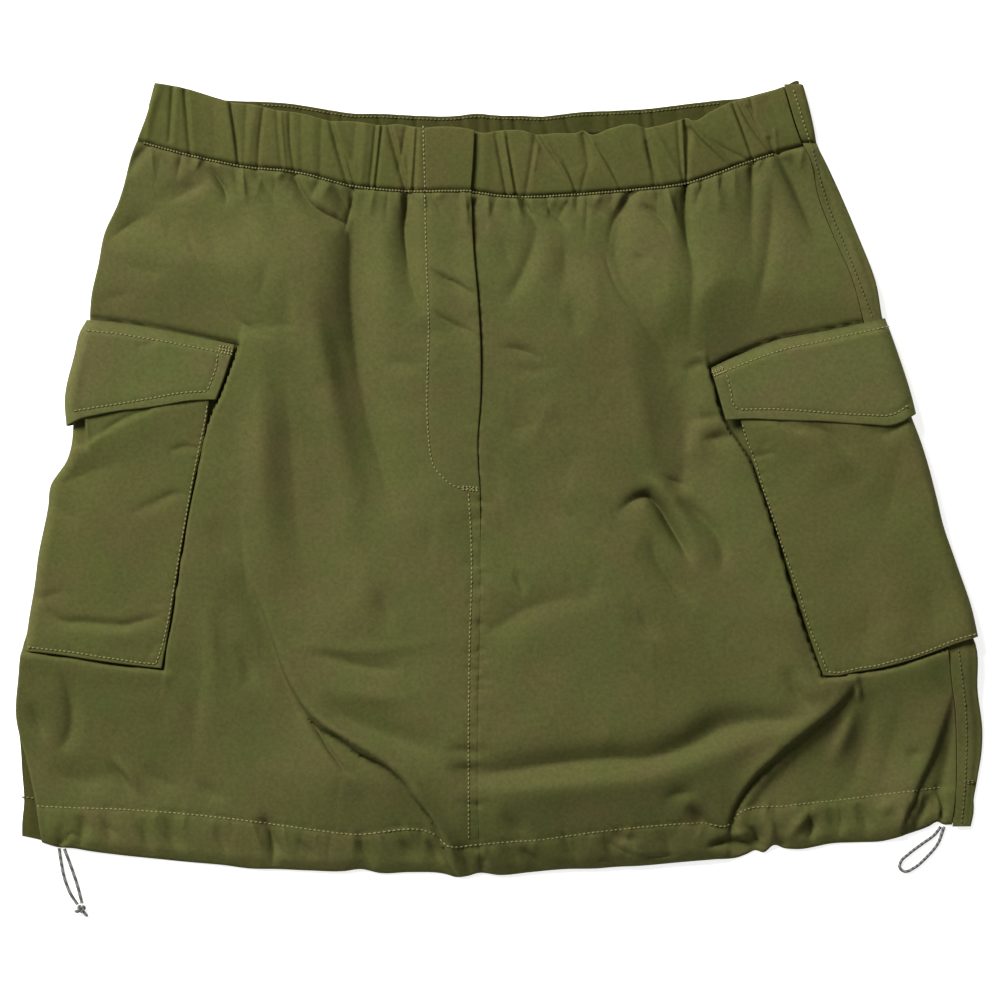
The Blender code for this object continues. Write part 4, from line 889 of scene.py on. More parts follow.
# x, y along the hem's stitches, then the creases between them and the edge
HEM_STITCHES = (
    (-255.5, -179.5), (-236.5, -180.4), (-205.2, -181.5), (-152.4, -185.9), (-117.2, -190.3), (-82, -194.7),
    (-34.7, -195.8), (-29.7, -200.2), (-12.1, -200.2), (-1.7, -199.1), (20.9, -197.5), (52.8, -193.1),
    (78.7, -190.3), (112.2, -188.7), (125.4, -189.8), (131.5, -183.2), (157.9, -179.3), (193.1, -175.5),
    (226.1, -171.1), (243.1, -169.4), (252.5, -167.2), (261.2, -165))
HEM_CREASES = (
    ((0, -196.9, 0, 4, 5), (6.6, -204.6, -1.2, 3, 4), (11, -213.4, 0, 3)),
    ((33, -194.7, 0, 3, 4), (39.6, -203.5, -1.4), (44, -212.3, 0, 3)),
    ((88, -190.3, 0, 3), (92.4, -199.1, -1.4), (94.6, -207.9)),
    ((-220, -182.6, 0, 3), (-215.6, -192.5, -1.2), (-213.4, -201.3)),
    ((-198, -184.8, 0, 3), (-194.7, -196.9, -1.4), (-191.4, -206.8)),
    ((-159.5, -188.1, 0, 3), (-152.9, -199.1, -1.2), (-148.5, -209)),
    ((195.8, -177.1, 0, 3, 4), (201.3, -187, -1.6), (202.4, -196.9, 0, 3)),
    ((236.5, -171.6, 0, 2.4, 3), (234.3, -179.3, -2), (229.9, -188.1, -1.4), (226.6, -193.6, 0, 2)),
    ((240.9, -172.7, 0, 2, 2.4), (243.1, -180.4, -1.6), (242, -188.1, 0, 2)),
    ((-231, -182.6, 0, 3, 4), (-228.8, -190.3, -2), (-231, -199.1, -1, 3)),
    ((-240.9, -188.1, 0, 3, 4), (-242, -198, -1.4, 3), (-243.1, -203.5, 0, 2)),
    ((-184.8, -182.6, 0, 3, 4), (-180.4, -193.6, -1.8), (-172.7, -204.6)),
    ((-130.9, -182.6, 0, 4), (-126.5, -193.6, -2, 3, 4), (-118.8, -207.9)),
    ((-127.6, -196.9, 0, 3), (-125.4, -204.6, -1.4, 2.4, 3), (-125.4, -212.3, 0, 2)),
    ((-112.2, -196.9, 0, 2.4, 3), (-106.7, -202.4, -1.2), (-100.1, -209, 0, 2, 3)),
    ((-78.1, -195.8, 0, 2.4, 3), (-73.7, -204.6, -1.8), (-68.2, -213.4)),
    ((-55, -196.9, 0, 4), (-50.6, -202.4, -1.6), (-44, -211.2, 0, 3)),
    ((-41.8, -196.9, 0, 2.4), (-36.3, -203.5, -1.8, 2.4, 3), (-31.9, -212.3, 0, 2, 3)),
    ((-20.9, -203.5, -1, 3), (-17.6, -212.3, -1.4), (-16.5, -217.8, 0, 2)),
    ((-8.8, -206.8, 0, 2), (-9.9, -212.3, -1.2), (-9.4, -217.8)),
    ((0, -181.5, 0, 4, 5), (9.9, -190.3, -1.4), (13.2, -199.1, 0, 4)),
    ((11, -201.3, 0, 3, 4), (19.8, -207.9, -1.6), (28.6, -214.5, 0, 3)),
    ((55, -193.6, 0, 2.4, 3), (58.3, -201.3, -1.4), (63.8, -207.9, -1.2), (72.6, -212.3, 0, 3)),
    ((61.6, -192.5, 0, 2, 3), (67.1, -195.8, -1.4), (77, -198, 0, 3)),
    ((68.2, -195.8, 0, 2, 3), (74.8, -203.5, 1.2, 3), (83.6, -210.1)),
    ((88, -176, 0, 3, 4), (99, -171.6, -1.4, 4), (108.9, -171.6)),
    ((103.4, -177.1, 0, 3, 4), (108.9, -183.7, -2.4, 3.4, 5), (118.8, -192.5, -1.4, 3, 5),
     (123.2, -195.8, 0, 3)),
    ((113.3, -202.4, 0, 3, 4), (122.1, -199.1, -3, 4, 5), (134.2, -201.3, -3, 4), (143, -196.9, -2, 3, 4),
     (137.5, -190.3, 0, 3)),
    ((124.3, -196.9, 0, 2.4), (132, -194.7, 1.6, 2.4, 3), (137.5, -200.2, 0, 2.4)),
    ((148, -182.6, 0, 2, 3), (149.1, -192.5, 1.4, 2.4, 3), (150.7, -202.4, 0, 2)),
    ((154.6, -196.9, 0, 2), (156.2, -201.3, -1.2), (157.3, -203.5)),
    ((168.3, -182.6, 0, 3, 4), (172.7, -191.4, -2, 3, 5), (169.4, -199.1, 0, 3)),
    ((180.4, -179.3, 0, 3, 4), (185.9, -189.2, -1.6, 3, 5), (188.1, -196.9, 0, 3)),
    ((157.3, -198, 0, 2, 2.4), (165, -188.1, 1.6, 2.4, 3), (174.9, -179.3)),
    ((205.7, -182.6, 0, 2.4, 4), (212.3, -179.3, 1.4, 3, 4), (217.8, -176, 0, 2, 3)),
    ((221.1, -180.4, 0, 2, 2.6), (224.4, -188.1, 1.6, 2.6), (227.7, -193.6, 0, 2)))


def casing(x, y):
    """The hem's casing: a soft tube between its stitch line, which sinks, and the edge."""
    stitch = along(HEM_STITCHES, x)
    down = np.clip((stitch - y) / (stitch - along(HEM_EDGE, x)), 0, 1)
    return 0.8 * np.sin(np.pi * down ** 0.8) ** 0.8 - 0.5 * np.exp(-((stitch - y) / 0.9) ** 2)


def seam_puckers(seed=5):
    """Seeded puckers to both sides of the middle seam, every 5.2 mm."""
    pick = np.random.default_rng(seed)
    rows = []
    for y in np.arange(-208, -10, 5.2):
        x = float(along(CENTRE, y))
        for side, most in ((-1, 15), (1, 11)):
            tall, reach = pick.uniform(-1.3, 0.5), pick.uniform(0.4, 1) * most
            at = y + pick.uniform(-1.6, 1.6)
            rows.append(((x + side * 0.5, at, tall, 1.2, 1.6),
                         (x + side * reach, at + pick.uniform(-2, 2), 0, 1.6, 2)))
    return tuple(rows)


def faint_creases(pick, count=260):
    """Faint creases all over the fronts, most of them upright. pick draws their places, ways and sizes."""
    rows = []
    for _ in range(count):
        start = pick.uniform((-230, -205), (230, 145))
        turn, long = pick.normal(-1.5, 0.55), pick.uniform(8, 38)
        middle = start + long / 2 * np.array([np.cos(turn), np.sin(turn)]) + pick.uniform(-2, 2, 2)
        end = start + long * np.array([np.cos(turn), np.sin(turn)])
        tall, near, far = pick.uniform(-0.45, 0.3), pick.uniform(1.2, 3), pick.uniform(2, 6)
        rows.append(((*start, 0, near, far), (*middle, tall), (*end, 0)))
    return tuple(rows)


def fly_puckers(pick):
    """Puckers that run into the fly's free edge, every 6.5 mm."""
    rows = []
    for y in np.arange(6, 150, 6.5):
        at, tall = y + pick.uniform(-2, 2), pick.uniform(-1, 0.5)
        x = float(along(CENTRE, at))
        rows.append(((x, at, tall, 1.6, 1.8), (x - pick.uniform(5, 14), at + pick.uniform(-1, 5), 0, 2, 2.6)))
    return tuple(rows)


# x, y along the stitches of the fly and of the middle seam
FLY_STITCHES = (
    (-41.2, 156.8), (-40.2, 118.8), (-39.1, 90.8), (-39.1, 23.7), (-38, 13.8), (-35.8, 6.6), (-30.8, 0.9),
    (-25.9, -3.1), (-20.9, -4.4), (-11.6, -5.2))
FLY_BARTACK = (((-20.9, -3.5), (-11.8, -4.4)), ((-20.9, -5.3), (-11.8, -6.1)))
CENTRE_STITCHES = (
    (-17.2, -7.2), (-16, -27.5), (-15.4, -50.1), (-16.5, -85.2), (-17.1, -130.9), (-17.1, -196.9))
# y, x of each pocket's inner edge and x, y of its lower edge, then the way outwards, both of them and x, y of
# the flap's upper edge
INNER_EDGES = {
    "left": ((-103, -185.4), (-75, -180.4), (-40, -174.9), (-4, -168.3), (29, -161.2), (50, -152.5),
             (74, -143.5)),
    "right": ((-107.5, 177.3), (-84, 168.3), (-57, 159.5), (-32, 152.4), (-12, 145.8), (11, 137.5), (32, 124),
              (61, 115.5))}
LOW_EDGES = {
    "left": ((-264, -93.5), (-242, -96), (-222.2, -99), (-196.9, -102.3), (-181.5, -103.7)),
    "right": ((170.5, -107.3), (185.4, -107.5), (194.7, -105.6), (206.3, -103.7), (225, -99), (251.7, -89.4),
              (265.1, -85.2))}
POCKET_OUTLINES = (
    (-1, INNER_EDGES["left"], LOW_EDGES["left"], ((-231, 88.6), (-198, 84.4), (-170, 79.2), (-143, 73.7))),
    (1, INNER_EDGES["right"], LOW_EDGES["right"],
     ((112.2, 59.4), (127.6, 67.1), (151.2, 76.5), (177.1, 81.4), (199.7, 86.2), (214.5, 89.7))))
# the cloth that bulges beside the pockets
BESIDE_POCKETS = (
    ((-143.6, 72.1, 1, 9, 0.7), (-148.5, 58.3, 2, 12, 0.7), (-152.4, 45.1, 2.2, 14, 0.7),
     (-156.8, 39.6, 2.4, 17, 0.7), (-159.7, 29.2, 2.8, 19, 0.7), (-163.4, 11, 3.1, 22, 0.7),
     (-166.9, -3.9, 3.2, 24, 0.7), (-170.5, -22, 3.3, 26, 0.7), (-173.5, -40.2, 3.3),
     (-176.8, -57.8, 3.1, 25, 0.7), (-179, -74.8, 2.8, 22, 0.7), (-181.8, -90.8, 2.2, 16, 0.7),
     (-183.9, -104.5, 1, 10, 0.7)),
    ((-261.8, -95.4, 1.4, 0.7, 7), (-242, -97.6, 1.8, 0.7, 8), (-222.2, -100.7, 2, 0.7, 9),
     (-196.9, -104, 1.8, 0.7, 8), (-184.8, -105.3, 1, 0.7, 6)),
    ((113.9, 60, 1, 0.7, 7), (120.1, 39.6, 1.6, 0.7, 9), (122.4, 30.8, 1.8, 0.7, 10),
     (130.1, 28.6, 1.8, 0.7, 11), (136.2, 11, 2, 0.7, 12), (144.4, -12.1, 2.2, 0.7, 14),
     (151, -31.9, 2.2, 0.7, 16), (158.2, -57.2, 2.2, 0.7, 17), (164.5, -77, 1.8, 0.7, 12),
     (167.5, -88, 0, 0.7, 6), (171.6, -99, -1.4, 1, 5), (175.7, -109.5, -1)),
    ((177.1, -109.5, 1, 0.7, 6), (185.4, -109.7, 1.6, 0.7, 7), (194.7, -107.8, 1.8, 0.7, 8),
     (206.3, -105.9, 1.8, 0.7, 9), (225, -101.2, 1.8), (242, -95.2, 1.4, 0.7, 7),
     (250.3, -91.9, 1, 0.7, 5)))

edge_gathers = (gathers(58, -252, 252, HEM_STITCHES, 7, (8, 22), (0.2, 0.9), (0.8, 1.8), below=-2, lean=8)
                + gathers(60, -198, 168, WAIST_SEAM, 11, (4, 26), (0.5, 2.2), (0.8, 2.2), lean=9))
draw = np.random.default_rng(9)
small_creases = (HEM_CREASES + BESIDE_POCKETS + faint_creases(draw) + fly_puckers(draw) + edge_gathers
                 + seam_puckers() + (ditch(FLY_STITCHES), ditch(CENTRE_STITCHES)))
flap_tops = tuple(tuple((x, y + 0.7, -1, 0.6) for x, y in top) for _, _, _, top in POCKET_OUTLINES)
meshed = SHARP_CREASES + flap_tops + edge_gathers


def lower_puff(x, y):
    """The middle of the fronts below the fly: level, with steep edges that slant towards each other."""
    share = 1.0
    for table, way, width in ((PUFF_LEFT, 1, 1), (PUFF_RIGHT, -1, 1.6)):
        slant = (along(table, y + 2) - along(table, y - 2)) / 4
        inside = way * (x - along(table, y)) / np.sqrt(1 + slant ** 2)
        dip = 0.5 if way < 0 else 0.1 + 0.4 * ease((y + 125) / 40)
        share = share * (1 - dip * np.exp(-np.maximum(inside, 0) / 7))
        share = share * ease(1 + np.minimum(inside, 0) / width)
    return along(PUFF_HEIGHT, y) * share


def room(x, y):
    """How high the cloth may rise: up to the gusset beneath a pocket, freely beside it, gently above it."""
    limit = np.full(x.shape, 40.0)
    for way, edge, low, top in POCKET_OUTLINES:
        beside = -np.minimum(way * (x - along(edge, y)), y - along(low, x))
        above = np.maximum(y - along(top, x), 0)
        high = 1.1 * ease(above / 3) + 0.14 * above + 6 * ease((beside + 25) / 50)
        level = ease(above / 14)
        free = np.maximum(30 * ease((beside - 0.2) / 3) * (1 - level), high * ease(above / 1.5))
        limit = np.minimum(limit, GUSSET_ROOM + free + 30 * ease((beside - 25) / 40))
    return limit


def middle_lift(x, y):
    """How far the middle of the waist stands up. The fronts rise to two and a half times as much below it."""
    wide = 135 + 55 * ease((y - 85) / 45) * (x < 0)
    return 0.4 * DOME * np.exp(-((x + 5) / wide) ** 4)


def held_down(height):
    """Heights that near TALLEST ever more slowly over the last 2 mm below it."""
    over = np.maximum(height - (TALLEST - 2), 0)
    return np.where(over > 0, TALLEST - 2 * np.exp(-over / 2), height)


def front_height(x, y, left_front):
    """Top of a front: the rest height, and on it a broad dome and all the creases. Hollows flatten out as
    they near the back panel, the cloth stays below room, and the left front rises where it laps over."""
    over = over_pockets(x, y)
    below = along(WAIST_SEAM, x) - y
    dome = middle_lift(x, y) * (1 + 1.5 * ease(below / 75)) * ease((y - along(HEM_EDGE, x) + 4) / 60)
    sunk = 0.66 * np.exp(-((y - 28) / 52) ** 4) * ease((x - along(UPPER_RIGHT, y) + 4) / 34)
    dome = dome * (1 - sunk) + lower_puff(x, y)
    dome = dome + (1.8 - ease(1 - (along(SIDE_SEAM, y) - x) / 14)) * ease((y - along(HEM_EDGE, x)) / 7)
    dome = dome + 1.5 * ease((below + 2) / 30) * np.exp(-((x + 10) / 185) ** 6) * ease(1.6 - below / 90)
    folds = dome + 0.6 * undulation(x, y) + BODY_GAIN * crease_field(x, y, BODY_CREASES)
    folds = folds + crease_field(x, y, small_creases) + HEM_GAIN * crease_field(x, y, HEM_CREASES)
    folds = np.where(folds < 0, VALLEY_FLOOR * np.tanh(folds / VALLEY_FLOOR), folds)
    folds = folds + crease_field(x, y, SHARP_CREASES)
    folds = np.maximum(folds, DEEPEST)
    height = FRONT_TOP + LIFT * over + band_rise(x, y) + folds + casing(x, y)
    spare = room(x, y) - height
    tight = np.minimum(spare - EASE_IN, 0)
    height = height + np.where(tight < 0, spare - EASE_IN * np.exp(tight / EASE_IN), 0)
    height = height + crease_field(x, y, flap_tops) - 1.3 * np.exp(-(np.maximum(below, 0) / 1.1) ** 2)
    centre = along(CENTRE, y)
    if left_front:
        lap = ease((x - centre + 36) / 17) * ease((y - FLY_LOW + 30) / 20)
        tab = np.exp(-(below / 24) ** 2)
        edge = ease((y - 20) / 60) * ease((x - centre + 12) / 12)
        return held_down(height + lap * (0.9 + 2.1 * tab + (1.3 - 0.6 * tab) * edge))
    return held_down(height) - (0.25 + 0.75 * ease((y - FLY_LOW) / 10)) * ease((centre + 0.8 - x) / 1.6)


def held_edges(across, down):
    """0 along the edges of a front's grid and 1 from 4 mm within."""
    return ease(np.minimum(60 * np.minimum(across, 1 - across), 95 * np.minimum(down, 1 - down)))


def along_rows(table, step):
    """A table sampled evenly along its places."""
    at = np.arange(table[0][0], table[-1][0] + step, step)
    return np.stack([at, along(table, at)], axis=1)


def front_points(across, down, left, right, left_front, side_roll):
    """Rows from the waist seam to the hem, columns from the left edge to the right, edges rolled under."""
    x, y = panel_grid(across, down, left, right, WAIST_SEAM, HEM_EDGE)
    x, y = drawn_in(x, y, meshed, held_edges(across, down))
    height = front_height(x, y, left_front) - side_roll(x, y) - rolled(y - along(HEM_EDGE, x), 2)
    return np.stack([x, y, np.maximum(height, LOWEST)], axis=-1)


def left_roll(x, y):
    """How far the left front drops along the side and, less, along the fly and the middle seam."""
    return (rolled(x - along(LEFT_EDGE, y), 1.4)
            + (0.2 + 0.6 * ease((y - FLY_LOW) / 10)) * rolled(along(CENTRE, y) - x, 0.9))


def right_roll(x, y):
    """How far the right front drops along the side seam."""
    return rolled(along(SIDE_SEAM, y) - x, 0.5)


underlap = [(y, x - 6 - (UNDERLAP - 6) * float(ease((y - FLY_LOW) / 6))) for y, x in along_rows(CENTRE, 2)]
front_down = fractions(*LONG, 2.4, near_start=False)
left_grid = front_points(*np.meshgrid(fractions(*LEFT_WIDE, 2), front_down), LEFT_EDGE, CENTRE, True,
                         left_roll)
right_grid = front_points(*np.meshgrid(fractions(*RIGHT_WIDE, 1.4, near_start=False), front_down), underlap,
                          SIDE_SEAM, False, right_roll)
left_front = cloth_piece("front_left_cloth", left_grid, "front_panel_left", body_cloth)
right_front = cloth_piece("front_right_cloth", right_grid, "front_panel_right", body_cloth)


def between(table, low, high, raised=0.0):
    """The rows x, y of a table whose x lies between two places, moved up the skirt by raised."""
    rows = np.array(table) + (0, raised)
    return rows[(rows[:, 0] > low) & (rows[:, 0] < high)]


stitching("front_left_stitching", "body", lambda x, y: front_height(x, y, True), FLY_STITCHES,
          CENTRE_STITCHES, between(HEM_STITCHES, -300, -10), stitch_shade=0.25)
stitching("front_right_stitching", "body", lambda x, y: front_height(x, y, False),
          between(HEM_STITCHES, -14, 252), stitch_shade=0.35)
stitching("fly_bartack", "body", lambda x, y: front_height(x, y, True), *FLY_BARTACK, pitch=1.8)


# ------------------------------------------------------------ the waistband
# A strip of the same twill folded over 35 mm elastic and stitched to the body, so that it draws up in
# pressed pleats all round. At the left front its end is flat and laps over the right one as a tab.

BAND_HEIGHT = 4.8
BAND_FOLD = 0.8
BAND_INSIDE = 12
TAB_RISE = 3
TAB_START = -43.5
TAB_TURN = 8
TAB_UNDERLAP = 26
SEAM_THREAD = {"pitch": 1.7, "thick": 0.5, "stitch_shade": 0.35}
# x, y along the upper edges
FRONT_WAIST = (
    (-189.8, 218.4), (-178.8, 216.7), (-154, 209.6), (-148.5, 207.9), (-136.4, 206.5), (-122.7, 203.2),
    (-110, 201.6), (-92.4, 197.2), (-79.2, 196.9), (-66, 195), (-55, 195.3), (-43.5, 193.3), (-33, 193.9),
    (-15.4, 192.2), (-11, 190.9), (1.1, 192), (13.8, 191.7), (18.7, 190), (30.8, 190.6), (42.4, 190.9),
    (45.7, 192), (49.5, 190), (60.5, 193.1), (74.8, 195.3), (79.2, 193.6), (85.8, 194.4), (97.9, 197.7),
    (102.9, 198.8), (105.6, 197.7), (116.6, 203), (127.1, 207.9), (137, 210.4), (140.2, 211.2),
    (156.2, 216.7))
BACK_WAIST = (
    (-190.3, 218.4), (-178.8, 216.7), (-156.8, 209.8), (-147.4, 209), (-130.9, 208.5), (-115.5, 207.4),
    (-94.6, 204.1), (-81.4, 202.1), (-67.1, 201.9), (-45.1, 200.8), (-27.5, 200.5), (-11, 201.9),
    (-1.7, 201), (11, 200.8), (24.8, 200.5), (36.3, 201.9), (47.3, 203), (61.6, 203.5), (80.9, 204.6),
    (104.5, 207.4), (121, 209.3), (133.1, 210.4), (143, 212.9), (156.2, 216.7), (165.6, 219.5),
    (168.3, 216.7))
# y, x of the tab's end and of the stitches across it
TAB_EDGE = ((154, -16.5), (158.4, -16), (181.5, -14.3), (194.7, -13.8))
TAB_STITCHES = ((157.3, -41), (176, -41.6), (194.7, -42.1))
# x, y of the stitches beside the side seam
SIDE_STITCHES = ((161.2, 215.1), (163.4, 208.5), (166.9, 196.9), (171.3, 184.3))
# x, y, height and reaches of the pleats' creases, of the fronts and then of the back
BAND_CREASES = (
    ((-187, 217.8, 0.8, 3, 2), (-192, 202.4, 1.1, 2.5, 2), (-194.2, 187.6, 0.5, 2, 1.5)),
    ((-179.5, 216.2, -1.2, 1, 1.6), (-180.4, 202.4, -1.1), (-181.5, 187, -0.6, 1, 1.4)),
    ((-177.7, 215.6, 0.5, 3, 1.2), (-178.8, 202.4, 0.5), (-179.3, 185.9, 0.3, 2, 1)),
    ((-173, 214, -1.4, 0.8, 1.4), (-171.6, 198, -1.3, 0.8, 1.6), (-170, 178.2, -0.9, 0.8, 1.4)),
    ((-171.3, 213.4, 0.5, 3, 1), (-170, 198, 0.6, 4, 1), (-168.3, 178.2, 0.3, 3, 1)),
    ((-157.3, 209, -0.7, 6), (-156.8, 176, -0.5, 5)),
    ((-150.2, 207.4, 0.6, 1.2, 4), (-146.9, 187, 0.6), (-145.2, 174.9, 0.3, 1, 3)),
    ((-148.2, 207.4, -1.6, 1.4, 0.8), (-145.8, 192.5, -1.5), (-143.6, 172.2, -1, 1.2, 0.8)),
    ((-134.8, 204.6, 0.5, 2.5), (-137, 189.8, 0.5), (-138.6, 174.4, 0.2, 2)),
    ((-139.2, 205.7, -0.5, 1.5), (-140.8, 173.2, -0.5)),
    ((-130, 204.1, -1, 1, 1.2), (-132, 187, -1), (-133.1, 171.6, -0.7, 1)),
    ((-120.5, 201.9, 0.5, 0.9, 2), (-119.4, 187, 0.7), (-117.7, 170.5, 0.3)),
    ((-122.3, 202.4, -0.8, 0.9, 1.5), (-121, 185.9, -0.8), (-119.4, 170.5, -0.5)),
    ((-115.7, 201.3, -1, 1), (-115, 184.3, -1.1), (-112.8, 168.9, -0.8)),
    ((-109.5, 200.2, -0.4, 1.5), (-108.9, 168.3, -0.4)), ((-102.3, 199.1, 0.4, 3), (-102.9, 167.2, 0.3)),
    ((-97.9, 198, -0.5, 2), (-99, 166.1, -0.5)),
    ((-93, 197.5, -1.5, 1, 1.8), (-89.1, 182.6, -1.5, 0.9, 1.8), (-83.1, 161.7, -1.2, 0.9, 1.6)),
    ((-90.8, 196.9, 0.7, 4, 1), (-86.9, 182.6, 0.8, 3, 1), (-81.4, 162.8, 0.4, 2, 1)),
    ((-90.2, 189.2, -0.4, 1), (-84.2, 176, -0.9), (-79.8, 161.2, -0.8)),
    ((-79.2, 196.4, -0.5, 2), (-80.9, 176, -0.4)), ((-73.7, 195.8, 0.5, 2), (-76.5, 161.7, 0.4)),
    ((-66.3, 195.3, 0.7, 1, 1.4), (-67.7, 178.8, 0.8), (-69.9, 160.6, 0.5, 1, 1.2)),
    ((-67.9, 195.3, -1.1, 0.8, 1.2), (-69.3, 178.8, -1.1), (-71.5, 159.5, -0.8, 0.8, 1)),
    ((-64.4, 195.3, -0.8, 1, 0.8), (-66.6, 178.8, -0.9), (-68.5, 159.5, -0.8)),
    ((-61.1, 194.7, -1.5, 0.9, 1.8), (-57.2, 180.4, -1.5), (-51.2, 157.9, -1.2, 0.8, 1.6)),
    ((-59.1, 194.7, 0.7, 3, 1), (-55, 179.9, 0.8, 2, 1), (-49.5, 159.5, 0.4, 1.5, 1)),
    ((-51.9, 192.5, -0.7, 1), (-55, 173.2, -0.5), (-56.7, 166.1)),
    ((-46.8, 193.1, 0.8, 1), (-48.1, 176, 0.9), (-49.2, 159.5, 0.5)),
    ((-44.8, 193.6, -1.3, 0.8, 1), (-46, 176, -1.2), (-47.3, 158.4, -1)),
    ((-8.2, 190.3, 0.4, 3), (-8.8, 158.4, 0.3)),
    ((-2.2, 190.3, -0.9, 0.9, 1.4), (0.6, 174.9, -1.2, 0.8, 1.4), (3.9, 156.2, -1, 0.8, 1.2)),
    ((1.7, 192, 0.7, 1), (4.4, 176, 0.9), (7.4, 157.9, 0.5)),
    ((3.9, 187, -0.6, 1.4, 0.8), (6.1, 173.2, -1.1), (9.4, 156.2, -0.9, 1.2, 0.8)),
    ((19.2, 188.1, -0.5, 1, 1.4), (17.1, 173.2, -0.8), (14.3, 157.3, -0.5, 1)),
    ((21.2, 184.3, 0.3, 1), (18.4, 170.5, 0.4)),
    ((19.8, 190.3, -1.6, 1, 2.4), (23.7, 182.6, -1.6, 1, 3), (28.1, 177.1, -0.9), (31.9, 171.6, -0.3, 1, 2)),
    ((21.2, 190.9, 0.7, 2, 0.9), (28.6, 179.3, 0.9, 1.6, 0.9), (35.2, 169.4, 0.8, 1.4, 0.9),
     (40.7, 160.1, 0.4, 1, 0.9)),
    ((34.7, 174.4, -0.3, 1, 0.8), (38, 168.3, -0.9, 1.2, 0.8), (42.1, 156.8, -1.2, 1, 0.8)),
    ((45.7, 189.8, -1.5, 3, 1.6), (47.3, 181.5, -1.4, 3.4, 2), (48.4, 172.7, -0.4, 3, 2)),
    ((46.5, 192, 0.7, 2, 0.9), (53.4, 180.4, 0.9, 2, 1), (59.4, 170.5, 0.7), (65.5, 160.6, 0.4, 1.4, 1)),
    ((52.8, 183.7, -0.6, 1, 0.8), (59.4, 173.2, -1, 1.2, 0.8), (66.6, 159, -1, 1, 0.8)),
    ((48.4, 172.7, -0.5, 1), (46.2, 165, -0.6), (44.6, 158.4, -0.4)),
    ((63.8, 193.1, 0.4, 5), (71.5, 165, 0.3)),
    ((79.4, 193.1, -0.8, 1.4, 1), (82, 178.8, -1.1, 2, 1), (85.2, 161.7, -0.7, 1.4, 1)),
    ((83.1, 194.7, 0.6, 2, 0.8), (89.7, 182.6, 0.8, 2, 0.9), (94.6, 173.8, 0.7), (99.6, 165.6, 0.3)),
    ((80.9, 185.4, -0.8, 0.8, 1.6), (84.7, 173.2, -1), (88.3, 160.6, -0.7, 0.8, 1.2)),
    ((99.6, 198, 0.8, 0.8), (100.4, 181.5, 0.8), (101.8, 164.5, 0.4)),
    ((97.9, 197.5, -0.7, 0.8, 1.6), (98.8, 181.5, -0.7, 0.8, 1.4), (100.7, 163.9, -0.6, 0.8, 1)),
    ((101.5, 197.5, -1.6, 2, 0.8), (102.9, 189.8, -1.7, 2.6, 0.8), (102.9, 181.5, -1.4, 1.4, 0.8),
     (102.3, 162.2, -1.4, 0.9, 0.8)),
    ((102.9, 199.1, 0.6, 2, 0.8), (110, 189.2, 0.9, 2, 0.9), (118.3, 181.5, 0.8),
     (126.3, 173.8, 0.4, 1.4, 0.9)),
    ((104.5, 193.1, -1.2, 0.8, 2), (111.7, 184.8, -1.1), (118.8, 178.2, -0.8, 0.8, 1.4),
     (124.9, 172.2, -0.5, 0.8, 1)),
    ((113.3, 188.1, -0.4, 1, 0.8), (121, 183.2, -0.9), (129.2, 179.3, -0.9), (137, 175.5, -0.8)),
    ((125.7, 206.8, 0.6, 0.9, 2.4), (130.9, 195.8, 0.6), (137, 178.2, 0.3, 0.9, 2)),
    ((127.9, 207.9, -1.2, 1.2, 0.8), (132.6, 194.7, -1.2), (139.5, 176, -0.9, 1, 0.8)),
    ((130.4, 208.5, -1.2, 0.8, 1), (136.4, 197.5, -1.3), (143, 188.1, -1.2), (150.2, 179.3, -1)),
    ((133.1, 209, 0.6, 2, 0.8), (139.2, 198.6, 0.7), (146.3, 189.2, 0.6, 1.6, 0.8)),
    ((136.4, 204.6, -0.6, 0.8, 1), (140.8, 196.9, -1), (144.7, 190.3, -0.4)),
    ((137.7, 211.2, -0.9, 1, 0.8), (138.9, 204.6, -0.7), (140.8, 199.1, 0, 1)),
    ((151.2, 192.5, 0.4, 1.2), (152.1, 179.9, 0.3)), ((148.5, 187, -0.6, 1), (150.7, 179.3, -1.2, 1.2)),
    ((145.8, 212.9, -0.5, 6), (154, 192.5, -0.4, 6, 5)))
